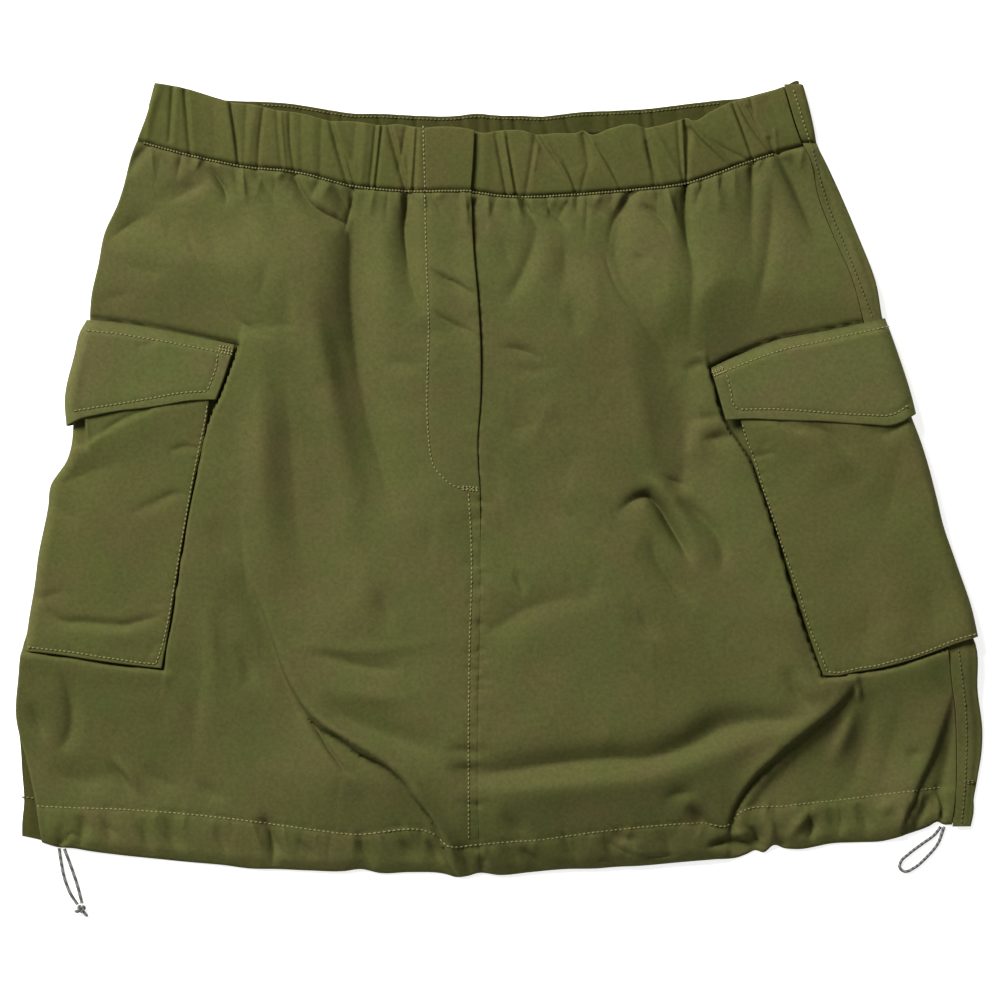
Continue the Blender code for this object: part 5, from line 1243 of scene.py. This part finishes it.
BACK_BAND_CREASES = (
    ((-139.7, 210.1, -0.8, 2, 1), (-139.2, 202.4, -0.8)),
    ((-130.9, 210.1, -0.8, 1.4, 2), (-130.4, 202.4, -0.8)),
    ((-110, 209, -0.7, 3, 1.6), (-108.4, 195.8, -0.7)), ((-94.6, 206.8, -1.2, 1, 1.6), (-91.9, 192.5, -1.2)),
    ((-87.5, 205.7, -0.6, 1.2), (-86.4, 192.5, -0.6)), ((-79.2, 204.6, -0.4, 2), (-78.1, 192.5, -0.4)),
    ((-67.1, 204.6, -1.1, 1, 1.6), (-64.9, 191.4, -1.1)), ((-56.1, 204.6, -0.6, 2), (-56.7, 191.4, -0.6)),
    ((-46.8, 203.5, -1.1, 1, 1.6), (-45.1, 190.3, -1.1)), ((-34.1, 203.5, -0.6, 2), (-33.6, 190.3, -0.6)),
    ((-21.5, 203.5, -1.1, 1, 2.4), (-19.2, 190.3, -1.1)), ((-12.1, 203.5, -0.9, 2.4), (-11.6, 190.3, -0.9)),
    ((-5.5, 203.5, -1.4, 0.8, 3), (-4.4, 189.2, -1.4)), ((1.1, 203.5, -1.1, 1), (2.5, 188.1, -1.1)),
    ((7.4, 203.5, -1.1, 2.4, 1), (8.5, 188.1, -1.1)), ((16.5, 203.5, -0.9, 5, 4), (17.1, 188.1, -0.9)),
    ((23.1, 203.5, -1.4, 0.8, 2.4), (28.1, 188.1, -1.4)), ((34.7, 204.6, -1.3, 0.8, 2), (40.2, 188.1, -1.3)),
    ((51.7, 205.7, -0.8, 4), (50.6, 188.1, -0.8)), ((60, 205.7, -0.8, 1, 1.4), (60.5, 190.3, -0.8)),
    ((77.3, 207.9, -1, 2.4, 1), (78.9, 191.4, -1)), ((83.6, 207.9, -0.9, 1, 1.6), (86, 192.5, -0.9)),
    ((96.8, 210.1, -0.6, 2), (97.9, 195.8, -0.6)), ((112.2, 212.3, -0.7, 2), (113.3, 198, -0.7)))
band_cloth = twill("olive drab twill over elastic", "5a5e2f", "615c34", "34381b", 2)


def band_puff(x, y, top):
    """How the band swells between its upper edge and the seam, and sinks into the seam's ditch."""
    seam = along(WAIST_SEAM, x)
    up = np.clip((y - seam) / (along(top, x) - seam), 0, 1)
    return 0.9 * np.sin(np.pi * up) ** 0.6 - 1.9 * np.exp(-((y - seam) / 1.5) ** 2)


def front_band_height(x, y):
    """Outer side of a front band: the flat height, its swell and its pleats, which the tab hasn't."""
    plain = ease((x - TAB_START + 4) / 4) * (x < along(TAB_EDGE, y) + 0.5)
    pleats = crease_field(x, y, BAND_CREASES) + 0.25 * undulation(2 * x, 2 * y, 8)
    swell = band_puff(x, y, FRONT_WAIST) * (1 - 0.3 * plain)
    return BAND_HEIGHT + middle_lift(x, y) + swell + 1.25 * pleats * (1 - plain)


def tab_height(x, y):
    """The left band: as the front one, with its end raised on the right band's."""
    tab = ease((x - TAB_START + TAB_TURN) / TAB_TURN)
    stitch = np.exp(-((x - along(TAB_STITCHES, y)) / 0.8) ** 2) * 0.35
    return front_band_height(x, y) + TAB_RISE * tab + 0.3 * undulation(x, y, 9) * tab - stitch


def folded_over(run, x, top):
    """y and depth below the outer side, for run 0 to 1 up from the seam, 1 to 2 round the upper edge's half
    circle and 2 to 3 down the inner side."""
    seam = along(WAIST_SEAM, x)
    angle = np.clip(run - 1, 0, 1) * np.pi
    rise = np.clip(run, 0, 1) * (along(top, x) - seam - BAND_FOLD)
    y = seam + rise + BAND_FOLD * np.sin(angle) - np.clip(run - 2, 0, 1) * BAND_INSIDE
    return y, BAND_FOLD * (1 - np.cos(angle))


def front_band_points(across, run, left, right, height):
    """A front band between two tables, folded over its upper edge."""
    y = 0 * across + 190
    for _ in range(6):
        x = along(left, y) + across * (along(right, y) - along(left, y))
        y, depth = folded_over(run, x, FRONT_WAIST)
    ends = rolled(x - along(left, y), 1.2) + rolled(along(right, y) - x, 0.6)
    return np.stack([x, y, height(x, y) - depth - ends * (depth < 0.1)], axis=-1)


def back_band_low(x, y):
    """The back band's gathers above the floor."""
    wave = np.maximum(1.3 + crease_field(x, y, BACK_BAND_CREASES) + 0.3 * undulation(2 * x, 2 * y, 4), 0)
    return wave * ease((along(SIDE_SEAM, y) - x) / 17)


def back_band_top(x, y):
    """The back band's outer side where it is turned up beside the side seam."""
    return BAND_HEIGHT + band_puff(x, y, BACK_WAIST) + 0.2 * undulation(2 * x, 2 * y, 8)


def back_band_inside(x, y):
    """The back band's inner side, which shows above the front ones."""
    return back_band_low(x, y) + 2 * BAND_FOLD


def back_band_points(across, run):
    """The back band: on the floor for across 0 to 1, round the right side to 2, to the side seam at 3."""
    x = 0 * across
    y = x + 190
    for _ in range(6):
        x = along(LEFT_EDGE, y) + np.clip(across, 0, 1) * (along(RIGHT_EDGE, y) - along(LEFT_EDGE, y))
        y, depth = folded_over(run, x, BACK_WAIST)
    edge, seam = along(RIGHT_EDGE, y), along(SIDE_SEAM, y)
    low = back_band_low(x, y) + depth
    top = back_band_top(x, y) - depth
    radius = (top - low) / 2
    turn = np.clip(across - 1, 0, 1) * np.pi
    past = np.clip(across - 2, 0, 1) * (edge - depth - seam - 0.3 - radius)
    turned = edge - depth - radius * (1 - np.sin(turn)) - past
    flat = np.minimum(x, edge - depth - radius * np.clip(across, 0, 1))
    z = low + radius * (1 - np.cos(turn)) - rolled(turned - seam - 0.3, 0.5) * (across > 2) * (depth < 0.1)
    return np.stack([np.where(across >= 1, turned, flat), y, z], axis=-1)


band_fold = np.linspace(1, 2, 8)
band_run = run_on(fractions(37, 0.9, 1.6, near_end=False), band_fold, [2, 2.3, 2.65, 3])
under_tab = [(y, x - TAB_UNDERLAP) for y, x in TAB_EDGE]
beside_seam = [(y, x - 0.3) for y, x in SIDE_SEAM]
left_band_grid = front_band_points(*np.meshgrid(fractions(178, 0.55, 2), band_run), LEFT_EDGE, TAB_EDGE,
                                   tab_height)
right_band_grid = front_band_points(*np.meshgrid(fractions(196, 0.55, 1.6), band_run), under_tab, beside_seam,
                                    front_band_height)
back_band_across = run_on(np.linspace(0, 1, 340), np.linspace(1, 2, 9), np.linspace(2, 3, 14))
back_band_run = run_on(fractions(37, 3, 1.6, near_end=False), band_fold, np.linspace(2, 3, 7))
back_band_grid = back_band_points(*np.meshgrid(back_band_across, back_band_run))
left_band = cloth_piece("waistband_left_cloth", left_band_grid[::-1], "waistband_front_left",
                        band_cloth)
right_band = cloth_piece("waistband_right_cloth", right_band_grid[::-1], "waistband_front_right",
                         band_cloth)
back_band = cloth_piece("waistband_back_cloth", back_band_grid[::-1], "waistband_back", band_cloth,
                        turned=True)
# The back band's inner side above the fronts takes the darker wrong side: partly the twill's own duller face,
# partly painted shade.
back_band.data.materials.append(wrong_side_and_shade)
inner_side_and_shade = np.zeros((len(back_band_run) - 1, len(back_band_across) - 1), int)
inner_side_and_shade[:int(np.sum(back_band_run > 1.4)), :339] = 1
back_band.data.polygons.foreach_set("material_index", inner_side_and_shade.ravel())


def seam_height(x, y):
    """Where the seam's stitches lie: just above the higher of the band's and the front's edge."""
    front = np.where(x < along(CENTRE, y), front_height(x, y - 0.9, True), front_height(x, y - 0.9, False))
    return np.maximum(front_band_height(x, y + 0.9), front) + 0.15


stitching("waistband_left_stitching", "band", seam_height, between(WAIST_SEAM, -197, -14, 0.1), **SEAM_THREAD)
stitching("waistband_tab_stitching", "band", tab_height, np.array(TAB_STITCHES)[:, ::-1])
stitching("waistband_right_stitching", "band", seam_height, between(WAIST_SEAM, -18, 170, 0.1), **SEAM_THREAD)
stitching("waistband_back_stitching", "band", back_band_inside, between(BACK_WAIST, -146, 128, -1.9),
          pitch=2.2, stitch_shade=0.6)
stitching("waistband_side_stitching", "band", back_band_top, SIDE_STITCHES, stitch_shade=0.3)


# ------------------------------------------------------------ the pockets
# A cargo pocket is folded round each side of the skirt, half in front and half behind: a face of the twill,
# sewn down along three edges over a bellows gusset, and above it a lined flap that is sewn to the body.

POCKET_WIDTH = 168
FLAP_WIDTH = 176
FACE_TOP = 13.2
FLAP_TOP = 14.7
FLAP_DROP = 3.2
GUSSET_DEPTH = 12
GUSSET_INSET = 0.6
FACE_WALL = 1.3
LEAF = 2.3
POKE = 5
# y, x of the outermost line, then of the line where the front half ends, for the faces and then the flaps
FACE_SIDE = {
    "left": (
        (-94, -261.5), (-73, -258.5), (-57, -255.8), (-43, -254.1), (-15, -248.6), (-3, -247), (11, -238),
        (28, -234.8), (44, -235.8), (67, -231)),
    "right": (
        (-86, 262.9), (-71, 259.6), (-45, 250.8), (-24, 243.7), (-10, 240.4), (21, 231.6), (38, 225.2),
        (71, 215.8))}
FACE_FRONT = {
    "left": (*INNER_EDGES["left"][:5], (52, -158.4)),
    "right": (*INNER_EDGES["right"][:6], (32, 131.5), (44, 125.4))}
FLAP_SIDE = {
    "left": ((30, -238.4), (45, -239.3), (70, -233.8), (81.4, -231), (88, -227.4)),
    "right": ((38, 228.7), (47, 226.6), (71, 218.9), (89, 211.8))}
FLAP_FRONT = {
    "left": ((43, -155.5), (50, -152.5), (69, -145.2)),
    "right": ((32.5, 123.8), (40, 121.5), (61, 115.5))}
# x, y of each edge that isn't straight
EDGES = {
    "left face low": ((-261.8, -93.8), *LOW_EDGES["left"][1:4], (-183.7, -103.7)),
    "right face low": ((174.9, -107.3), *LOW_EDGES["right"][1:]),
    "left flap top": ((-231, 88.6), (-223.9, 87.8), (-198, 84.4), (-170, 79.2), (-143, 73.7)),
    "left flap low": (
        (-238.7, 29.4), (-234.3, 31.4), (-229.4, 33.4), (-220.6, 35.4), (-207.4, 37.8), (-195.3, 39.1),
        (-183.2, 41), (-171.1, 43.1), (-152.9, 44)),
    "right flap top": (
        (112.2, 59.4), (118.3, 62.7), (127.6, 67.1), (140.2, 72.1), (151.2, 76.5), (163.9, 79.2),
        (177.1, 81.4), (188.7, 83.6), (199.7, 86.2), (214.5, 89.7)),
    "right flap low": (
        (122.1, 32.5), (137, 33.3), (150.2, 32.7), (163.7, 32.2), (177.1, 31.9), (190.3, 30.8), (204.1, 30),
        (213.4, 29.5), (228.8, 35.2))}
# x, y along the rows of stitches, then the creases of the faces and of the flaps
FACE_STITCHES = {
    "left": (
        ((-160.4, 41.2), (-161.5, 33.6), (-164.2, 20.9), (-165.9, 12.8), (-168.5, 0), (-171.6, -17.1),
         (-175.2, -37.4), (-179, -60.5), (-182.1, -78.1), (-185.1, -90.8), (-188.7, -100.9)),
        ((-188.7, -100.9), (-197.5, -100.2), (-206.3, -98.8), (-218.4, -97.1), (-234.3, -94.5),
         (-247.5, -93), (-259.6, -91.6))),
    "right": (
        ((132.9, 30.8), (135, 22.8), (139.7, 11.2), (143.3, -1.3), (148.2, -16), (155.3, -37.9),
         (163.7, -60.5), (170.3, -82.4), (175.5, -94.6), (179.6, -105.3)),
        ((179.6, -105.3), (187, -105.6), (194.7, -103.7), (206.3, -101.8), (215.6, -99.3), (225.2, -97.1),
         (239.3, -91.9), (251.7, -87.1), (261.2, -84.4)))}
FLAP_STITCHES = {
    "left": (
        ((-226.6, 82), (-224.4, 81.6), (-212.3, 80.5), (-199.4, 78.4), (-183.3, 75.7), (-167.2, 72.7),
         (-154.3, 70.3)),
        ((-154.6, 69.5), (-155.7, 61.2), (-158.4, 54), (-160.3, 49.2)),
        ((-160.7, 48.6), (-175.2, 47.6), (-191.4, 44.7), (-207.5, 41.9), (-222, 39.7), (-233.8, 37.7))),
    "right": (
        ((120.5, 58.3), (127.9, 61.3), (136.8, 64.9), (147.6, 68.9), (160.1, 72.6), (172.6, 75.2),
         (184.3, 77.9), (199.4, 81.2), (213.4, 84.2)),
        ((124.1, 58), (126.5, 48.8), (127.9, 41.2), (130.6, 38.7)),
        ((131.5, 38.6), (150.2, 38.8), (163.7, 38.1), (177.1, 37), (190.5, 36.1), (203.9, 35.5),
         (212.9, 35.4), (217.3, 36.7), (223.9, 41)))}
BARTACKS = {
    "left": (
        ((-153.2, 74.2), (-154, 69.9)), ((-151.5, 73.9), (-152.4, 69.5)), ((-149.9, 73.6), (-150.7, 69.2)),
        ((-148.2, 73.3), (-149.1, 68.9)), ((-154.2, 71.8), (-146.3, 70.2)),
        ((-153.5, 69.9), (-146.5, 68.6))),
    "right": (
        ((116.4, 60.6), (118, 56.7)), ((117.9, 61.3), (119.6, 57.3)), ((119.5, 62), (121.1, 58)),
        ((121, 62.7), (122.7, 58.6)), ((115.9, 58.6), (122.9, 61.7)), ((116.9, 56.7), (123.8, 59.7)))}
FACE_CREASES = {
    "left": (
        ((-229.9, 37.4, -2, 0.7, 8), (-228.8, 34.1, -3.6), (-227.7, 26.4, -3.6),
         (-226.6, 18.7, -1.6, 0.7, 7), (-226.1, 15.4, 0, 1, 6)),
        ((-227.4, 33, 0.8, 1, 0.6), (-226.6, 25.3, 0.9), (-225.7, 18.7, 0.4)),
        ((-237.6, 15.4, 0.6, 3, 9), (-228.8, 17.1, 1.3, 1.6, 10), (-218.9, 23.1, 1.7, 1.6, 12),
         (-205.7, 30.3, 1.6, 2, 14), (-192.5, 35.8, 1.2, 2.4, 14), (-178.2, 39.1, 0.5, 3, 12)),
        ((-220, 24.2, 0, 1.4), (-215.6, 27.5, -0.9, 1.4, 1.6), (-205.2, 33.8, -1.2),
         (-193.1, 38, -0.7, 1.4)),
        ((-182.6, 14.9, 0, 1.6), (-178.2, 16.8, -0.9, 1.6, 2), (-172.7, 18.4, -1, 1.6, 2.4),
         (-165, 17.3, -0.3, 1.6, 2)),
        ((-204.6, -18.7, 0, 2.4, 3), (-195.8, -14.9, -0.9, 2.4, 4), (-187, -11, -1.2),
         (-178.2, -7.2, -1.1, 1.8, 3), (-170.5, -8.8, -0.3, 1.6, 2)),
        ((-247.5, -3.3, -0.6, 6), (-233.2, 1.1, -1.8, 9), (-215.6, 7.7, -1), (-198, 12.1, 0, 8)),
        ((-247.5, -11, -1, 4, 6), (-239.8, -17.6, -1, 5, 6), (-228.8, -22, 0, 6)),
        ((-222.2, -33, 0.5, 16), (-214.5, -60.5, 0.9, 14, 12), (-210.1, -70.4, 0, 10, 8)),
        ((-255.2, -64.4, -1.4, 3), (-249.7, -64.4, -1, 2.4, 3), (-242, -61.6, -0.6, 3, 4), (-228.8, -60.5)),
        ((-248.6, -66, 0, 3, 2), (-246.4, -72.6, -1, 2.4, 2), (-241.5, -76.8, -1.5),
         (-227.7, -78.5, -1.9, 3, 2), (-217.8, -79.4, -2), (-205.7, -80.1, -1.8),
         (-196.9, -77.6, -1.4, 2.6, 2), (-184.8, -74.2, -0.3, 2)),
        ((-244.2, -83.6, 0.4, 4, 6), (-225.5, -84.7, 0.8), (-203.5, -85.8, 0.7), (-188.1, -82.5)),
        ((-194.7, -66, 0, 3), (-188.1, -68.2, -0.7), (-180.4, -67.1, 0, 2)),
        ((-187, -88, 0, 2, 3), (-190.3, -93.5, -0.6), (-194.7, -99, 0, 2))),
    "right": (
        ((133.1, 28.6, 0.2, 2.4, 8), (152.9, 29.2, 1.2, 2.4, 10), (163.9, 25.5, 1.7, 2.6, 12),
         (172.7, 22, 1.9, 3, 13), (183.2, 13.8, 1.9, 4, 14), (190.3, 8.2, 1.4, 6, 12), (196.9, -1.1, 0, 8)),
        ((165, 30.3, -0.6, 2), (171.6, 28.6, -1.6, 3), (180.4, 25.9, -2, 4), (187.6, 18.7, -1.7, 5),
         (194.2, 11, -0.9, 6), (204.6, 0, 0, 8)),
        ((154, 30.8, -0.8, 1.6), (159.5, 28.6, -1.3), (163.4, 27, -1.2, 1.4), (167.2, 28.1, 0, 1.2)),
        ((196.9, 28.6, 0, 3), (204.6, 27, -1.2, 3, 4), (211.2, 25.3, -1.6), (217.8, 28.6, -1.4, 3, 3.4),
         (225.5, 33, 0, 3)),
        ((136.4, 12.7, -0.3, 1.6), (140.8, 12.7, -0.8), (146.3, 14.3, -0.8, 1.6, 2), (152.9, 14.9, 0, 1.6)),
        ((148.5, 23.1, 0, 2, 3), (145.2, 18.7, -0.5), (140.8, 16.5, 0, 2)),
        ((220, 16.5, -0.6, 10), (214.5, -11, -1.1, 12), (209, -33)),
        ((229.9, -44, 0, 12, 8), (236.5, -66, -1, 12, 9), (238.7, -85.8, -0.6, 10, 8)),
        ((212.3, -58.3, 0.3, 8), (216.2, -79.8, 0.9, 9), (220, -96.8, 0.5, 8)),
        ((203.5, -60.5, 0, 8), (201.3, -79.8, -0.7), (198, -101.2, -0.4)),
        ((234.3, -1.1, 0.5, 2.4, 1.4), (237.1, -11, 1, 2.6, 1.4), (240.9, -24.2, 0.2, 2, 1)),
        ((171.6, -44, 0, 8), (179.3, -66, 0.5), (190.3, -88)))}
FLAP_CREASES = {
    "left": (
        ((-199.7, 71.5, 0, 2), (-195.8, 73.7, -0.5), (-190.3, 75.4, -0.5)),
        ((-228.8, 77, 0, 3), (-231.6, 60.5, 0.6), (-234.3, 44, 0.5))),
    "right": (
        ((209, 71.5, -0.3, 5), (217.8, 52.3, -0.5), (214.5, 41.8)),
        ((216.2, 36.3, 0, 2), (222.8, 41.8, -0.5), (228.8, 46.2)))}

pocket_cloth = twill("olive drab twill of the pockets", "5c6031", "635e37", "363a1e", 3)
# The flaps' twill is a lighter copy of the same cloth: painted light on the flaps.
lit_flap_cloth = twill("olive drab twill of the flaps, painted lighter as light", "616737", "6a643e", "3a3e20", 4)
# The gusset's twill is a darker copy of the same cloth: painted shade for the recess under each pocket's
# face.
shaded_gusset_cloth = twill("olive drab twill inside the pockets", "4c5126", "544f2b", "2c2f16", 5)


def pocket_line(table, down):
    """x, y at a fraction down a pocket's side table."""
    y = table[-1][0] + down * (table[0][0] - table[-1][0])
    return along(table, y), y


def ways(side, side_tables, front_tables, down):
    """Outermost point, unit way inwards and the front half's width, at a fraction down a pocket or flap."""
    edge_x, edge_y = pocket_line(side_tables[side], down)
    front_x, front_y = pocket_line(front_tables[side], down)
    width = np.hypot(front_x - edge_x, front_y - edge_y)
    return edge_x, edge_y, (front_x - edge_x) / width, (front_y - edge_y) / width, width


def under_face(y):
    """The back half of the face lies on the floor below its flap and on the flap above."""
    return 1.5 * ease((y + 10) / 22)


def wrap(side, tables, across, down, whole, top, low, within=0.0, short=0.0):
    """x, y, z and the distance to the inner edge, round the side: on top for across 0 to 1, round half a
    circle to 2 and beneath to 3. within and short keep it inside a piece and off its free edges."""
    edge_x, edge_y, way_x, way_y, width = ways(side, *tables, down)
    less = within + short
    radius = (top - low) / 2 - within
    angle = np.clip(across - 1, 0, 1) * np.pi
    away = radius * (1 - np.sin(angle)) + np.clip(1 - across, 0, 1) * (width - less - radius)
    away = away + np.clip(across - 2, 0, 1) * (whole - width - less - radius)
    x, y = edge_x + way_x * (away + within), edge_y + way_y * (away + within)
    return x, y, low + within + radius * (1 + np.cos(angle)), width - away


def bowed(side, tables, x, y, down, across, top_edge, low_edge):
    """y with the straight upper and lower edges bowed to the tables of those edges."""
    for edge, at, share in ((top_edge, 0.0, 1 - down), (low_edge, 1.0, down)):
        if edge in EDGES:
            edge_x, edge_y, way_x, way_y, _ = ways(side, *tables, np.float64(at))
            straight = edge_y + (x - edge_x) * way_y / way_x
            y = y + share * np.clip(2 - across, 0, 1) * (along(EDGES[edge], x) - straight)
    return y


def puckers(path, seed, inward, length, spacing=6.0):
    """Small seeded creases that run from a row of stitches inwards."""
    pick = np.random.default_rng(seed)
    rows = []
    for x, y in smooth_path(np.array(path, float), spacing)[1:-1]:
        long, tall, slant = pick.uniform(*length), pick.uniform(-0.4, 0.15), pick.uniform(-0.35, 0.35)
        way_x, way_y = inward[0] - slant * inward[1], inward[1] + slant * inward[0]
        rows.append(((x, y, tall, 1.1), (x + way_x * long, y + way_y * long, 0, 1.8)))
    return tuple(rows)


def face_relief(side):
    """Folds of a pocket's face, its stitch rows and the puckers beside them, as a height of x, y."""
    sign = 1 if side == "right" else -1
    edge, low = FACE_STITCHES[side]
    rows = (FACE_CREASES[side] + (ditch(edge), ditch(low)) + puckers(edge, 21, (sign, 0.1), (5, 11))
            + puckers(low, 22, (0.1, 1), (3, 7)))
    return lambda x, y: crease_field(x, y, rows) + 0.7 * undulation(x, y, 12 + sign)


def flap_relief(side):
    """Folds of a flap, its stitch rows, and its slope down to the seam along its upper edge."""
    rows = FLAP_CREASES[side] + tuple(ditch(path, 0.4) for path in FLAP_STITCHES[side])

    def height(x, y):
        below = along(EDGES[side + " flap top"], x) - y
        return crease_field(x, y, rows) + 0.45 * undulation(x, y, 15) - FLAP_DROP * ease(1 - below / 8)
    return height


def pocket_piece_points(side, tables, whole, top, low, relief, edges, round_edge):
    """The surface of a face or flap, as a function of across and down: wrapped, with the relief on top,
    which fades out round the turn, and with edges rolled under."""
    def shape(across, down):
        base = low(ways(side, *tables, down)[1])
        x, y, z, inner = wrap(side, tables, across, down, whole, top, base)
        y = bowed(side, tables, x, y, down, across, *edges)
        fade = 0.5 + 0.5 * np.cos(np.clip(across - 1, 0, 1) * np.pi)
        z = z + relief(x, y) * fade
        height = tables[0][side][-1][0] - tables[0][side][0][0]
        roll = rolled(inner, round_edge) * (across <= 1) + rolled((1 - down) * height, round_edge)
        return np.stack([x, y, z - roll * fade], axis=-1)
    return shape


def gusset_points(side, run, depth):
    """The gusset: a strip folded in half under the face's edge, down the front leg for run 0 to 1, round the
    bottom to 4 and up the back leg to 5. Depth 0 to 1 runs in along the outer leaf, to 2 round the fold, to
    3 back out. On the right the inner leaf pokes out near the foot of the front leg."""
    tables = (FACE_SIDE, FACE_FRONT)
    height = FACE_SIDE[side][-1][0] - FACE_SIDE[side][0][0]
    poke = POKE * np.exp(-((np.minimum(run, 1) - 0.9) / 0.05) ** 2) * (side == "right")
    poke = poke * (depth > 2) * (run < 1.2)
    short = GUSSET_INSET + (GUSSET_DEPTH - GUSSET_INSET) * np.clip(np.minimum(depth, 3 - depth), 0, 1) - poke
    within = FACE_WALL + LEAF * np.clip(depth - 1, 0, 1)
    down = np.minimum(np.minimum(run, 5 - run), 1 - (short + poke) / height)
    low = under_face(ways(side, *tables, down)[1])
    x, y, z, _ = wrap(side, tables, np.clip(run - 1, 0, 3), down, POCKET_WIDTH, FACE_TOP, low, within, short)
    return np.stack([x, y, z], axis=-1)


round_and_beneath = (np.linspace(1, 2, 15), np.linspace(2, 3, 24))
around = run_on(fractions(88, 0.9, 1.2, near_end=False), *round_and_beneath)
flap_around = run_on(fractions(88, 0.8, 1.2, near_end=False), *round_and_beneath)
leg = np.linspace(0, 1, 60)
gusset_run = run_on(leg, np.linspace(1, 2, 24), np.linspace(2, 3, 14), np.linspace(3, 4, 24), 4 + leg)
gusset_depth = np.array([0, 0.25, 0.6, 0.9, 1, 1.15, 1.5, 1.85, 2, 2.1, 2.4, 2.75, 3])
for side in ("left", "right"):
    face_shape = pocket_piece_points(side, (FACE_SIDE, FACE_FRONT), POCKET_WIDTH, FACE_TOP, under_face,
                                     face_relief(side), ("", side + " face low"), 0.9)
    face_grid = face_shape(*np.meshgrid(around, fractions(160, 1.0, 1.2, near_start=False)))
    flap_shape = pocket_piece_points(side, (FLAP_SIDE, FLAP_FRONT), FLAP_WIDTH, FLAP_TOP, lambda y: 0 * y,
                                     flap_relief(side), (side + " flap top", side + " flap low"), 1.1)
    flap_grid = flap_shape(*np.meshgrid(flap_around, fractions(56, 0.8, 1.2)))
    gusset_grid = gusset_points(side, *np.meshgrid(gusset_run, gusset_depth))
    face = cloth_piece(f"pocket_{side}_face_cloth", face_grid, f"pocket_face_{side}", pocket_cloth,
                       turned=side == "left")
    gusset = cloth_piece(f"pocket_{side}_shaded_gusset_cloth", gusset_grid, f"pocket_gusset_{side}",
                         shaded_gusset_cloth, turned=side == "right")
    flap = cloth_piece(f"pocket_{side}_lit_flap_cloth", flap_grid, f"pocket_flap_{side}", lit_flap_cloth, 0.8,
                       turned=side == "left")
    on_face, on_flap = face_relief(side), flap_relief(side)
    stitching(f"pocket_{side}_face_stitching", "pocket", lambda x, y: FACE_TOP + on_face(x, y),
              *FACE_STITCHES[side], stitch_shade=0.3)
    stitching(f"pocket_{side}_flap_stitching", "flap", lambda x, y: FLAP_TOP + on_flap(x, y),
              *FLAP_STITCHES[side], stitch_shade=0.3)
    stitching(f"pocket_{side}_flap_bartack", "flap", lambda x, y: FLAP_TOP + 0.15 + on_flap(x, y),
              *BARTACKS[side], pitch=1.6)
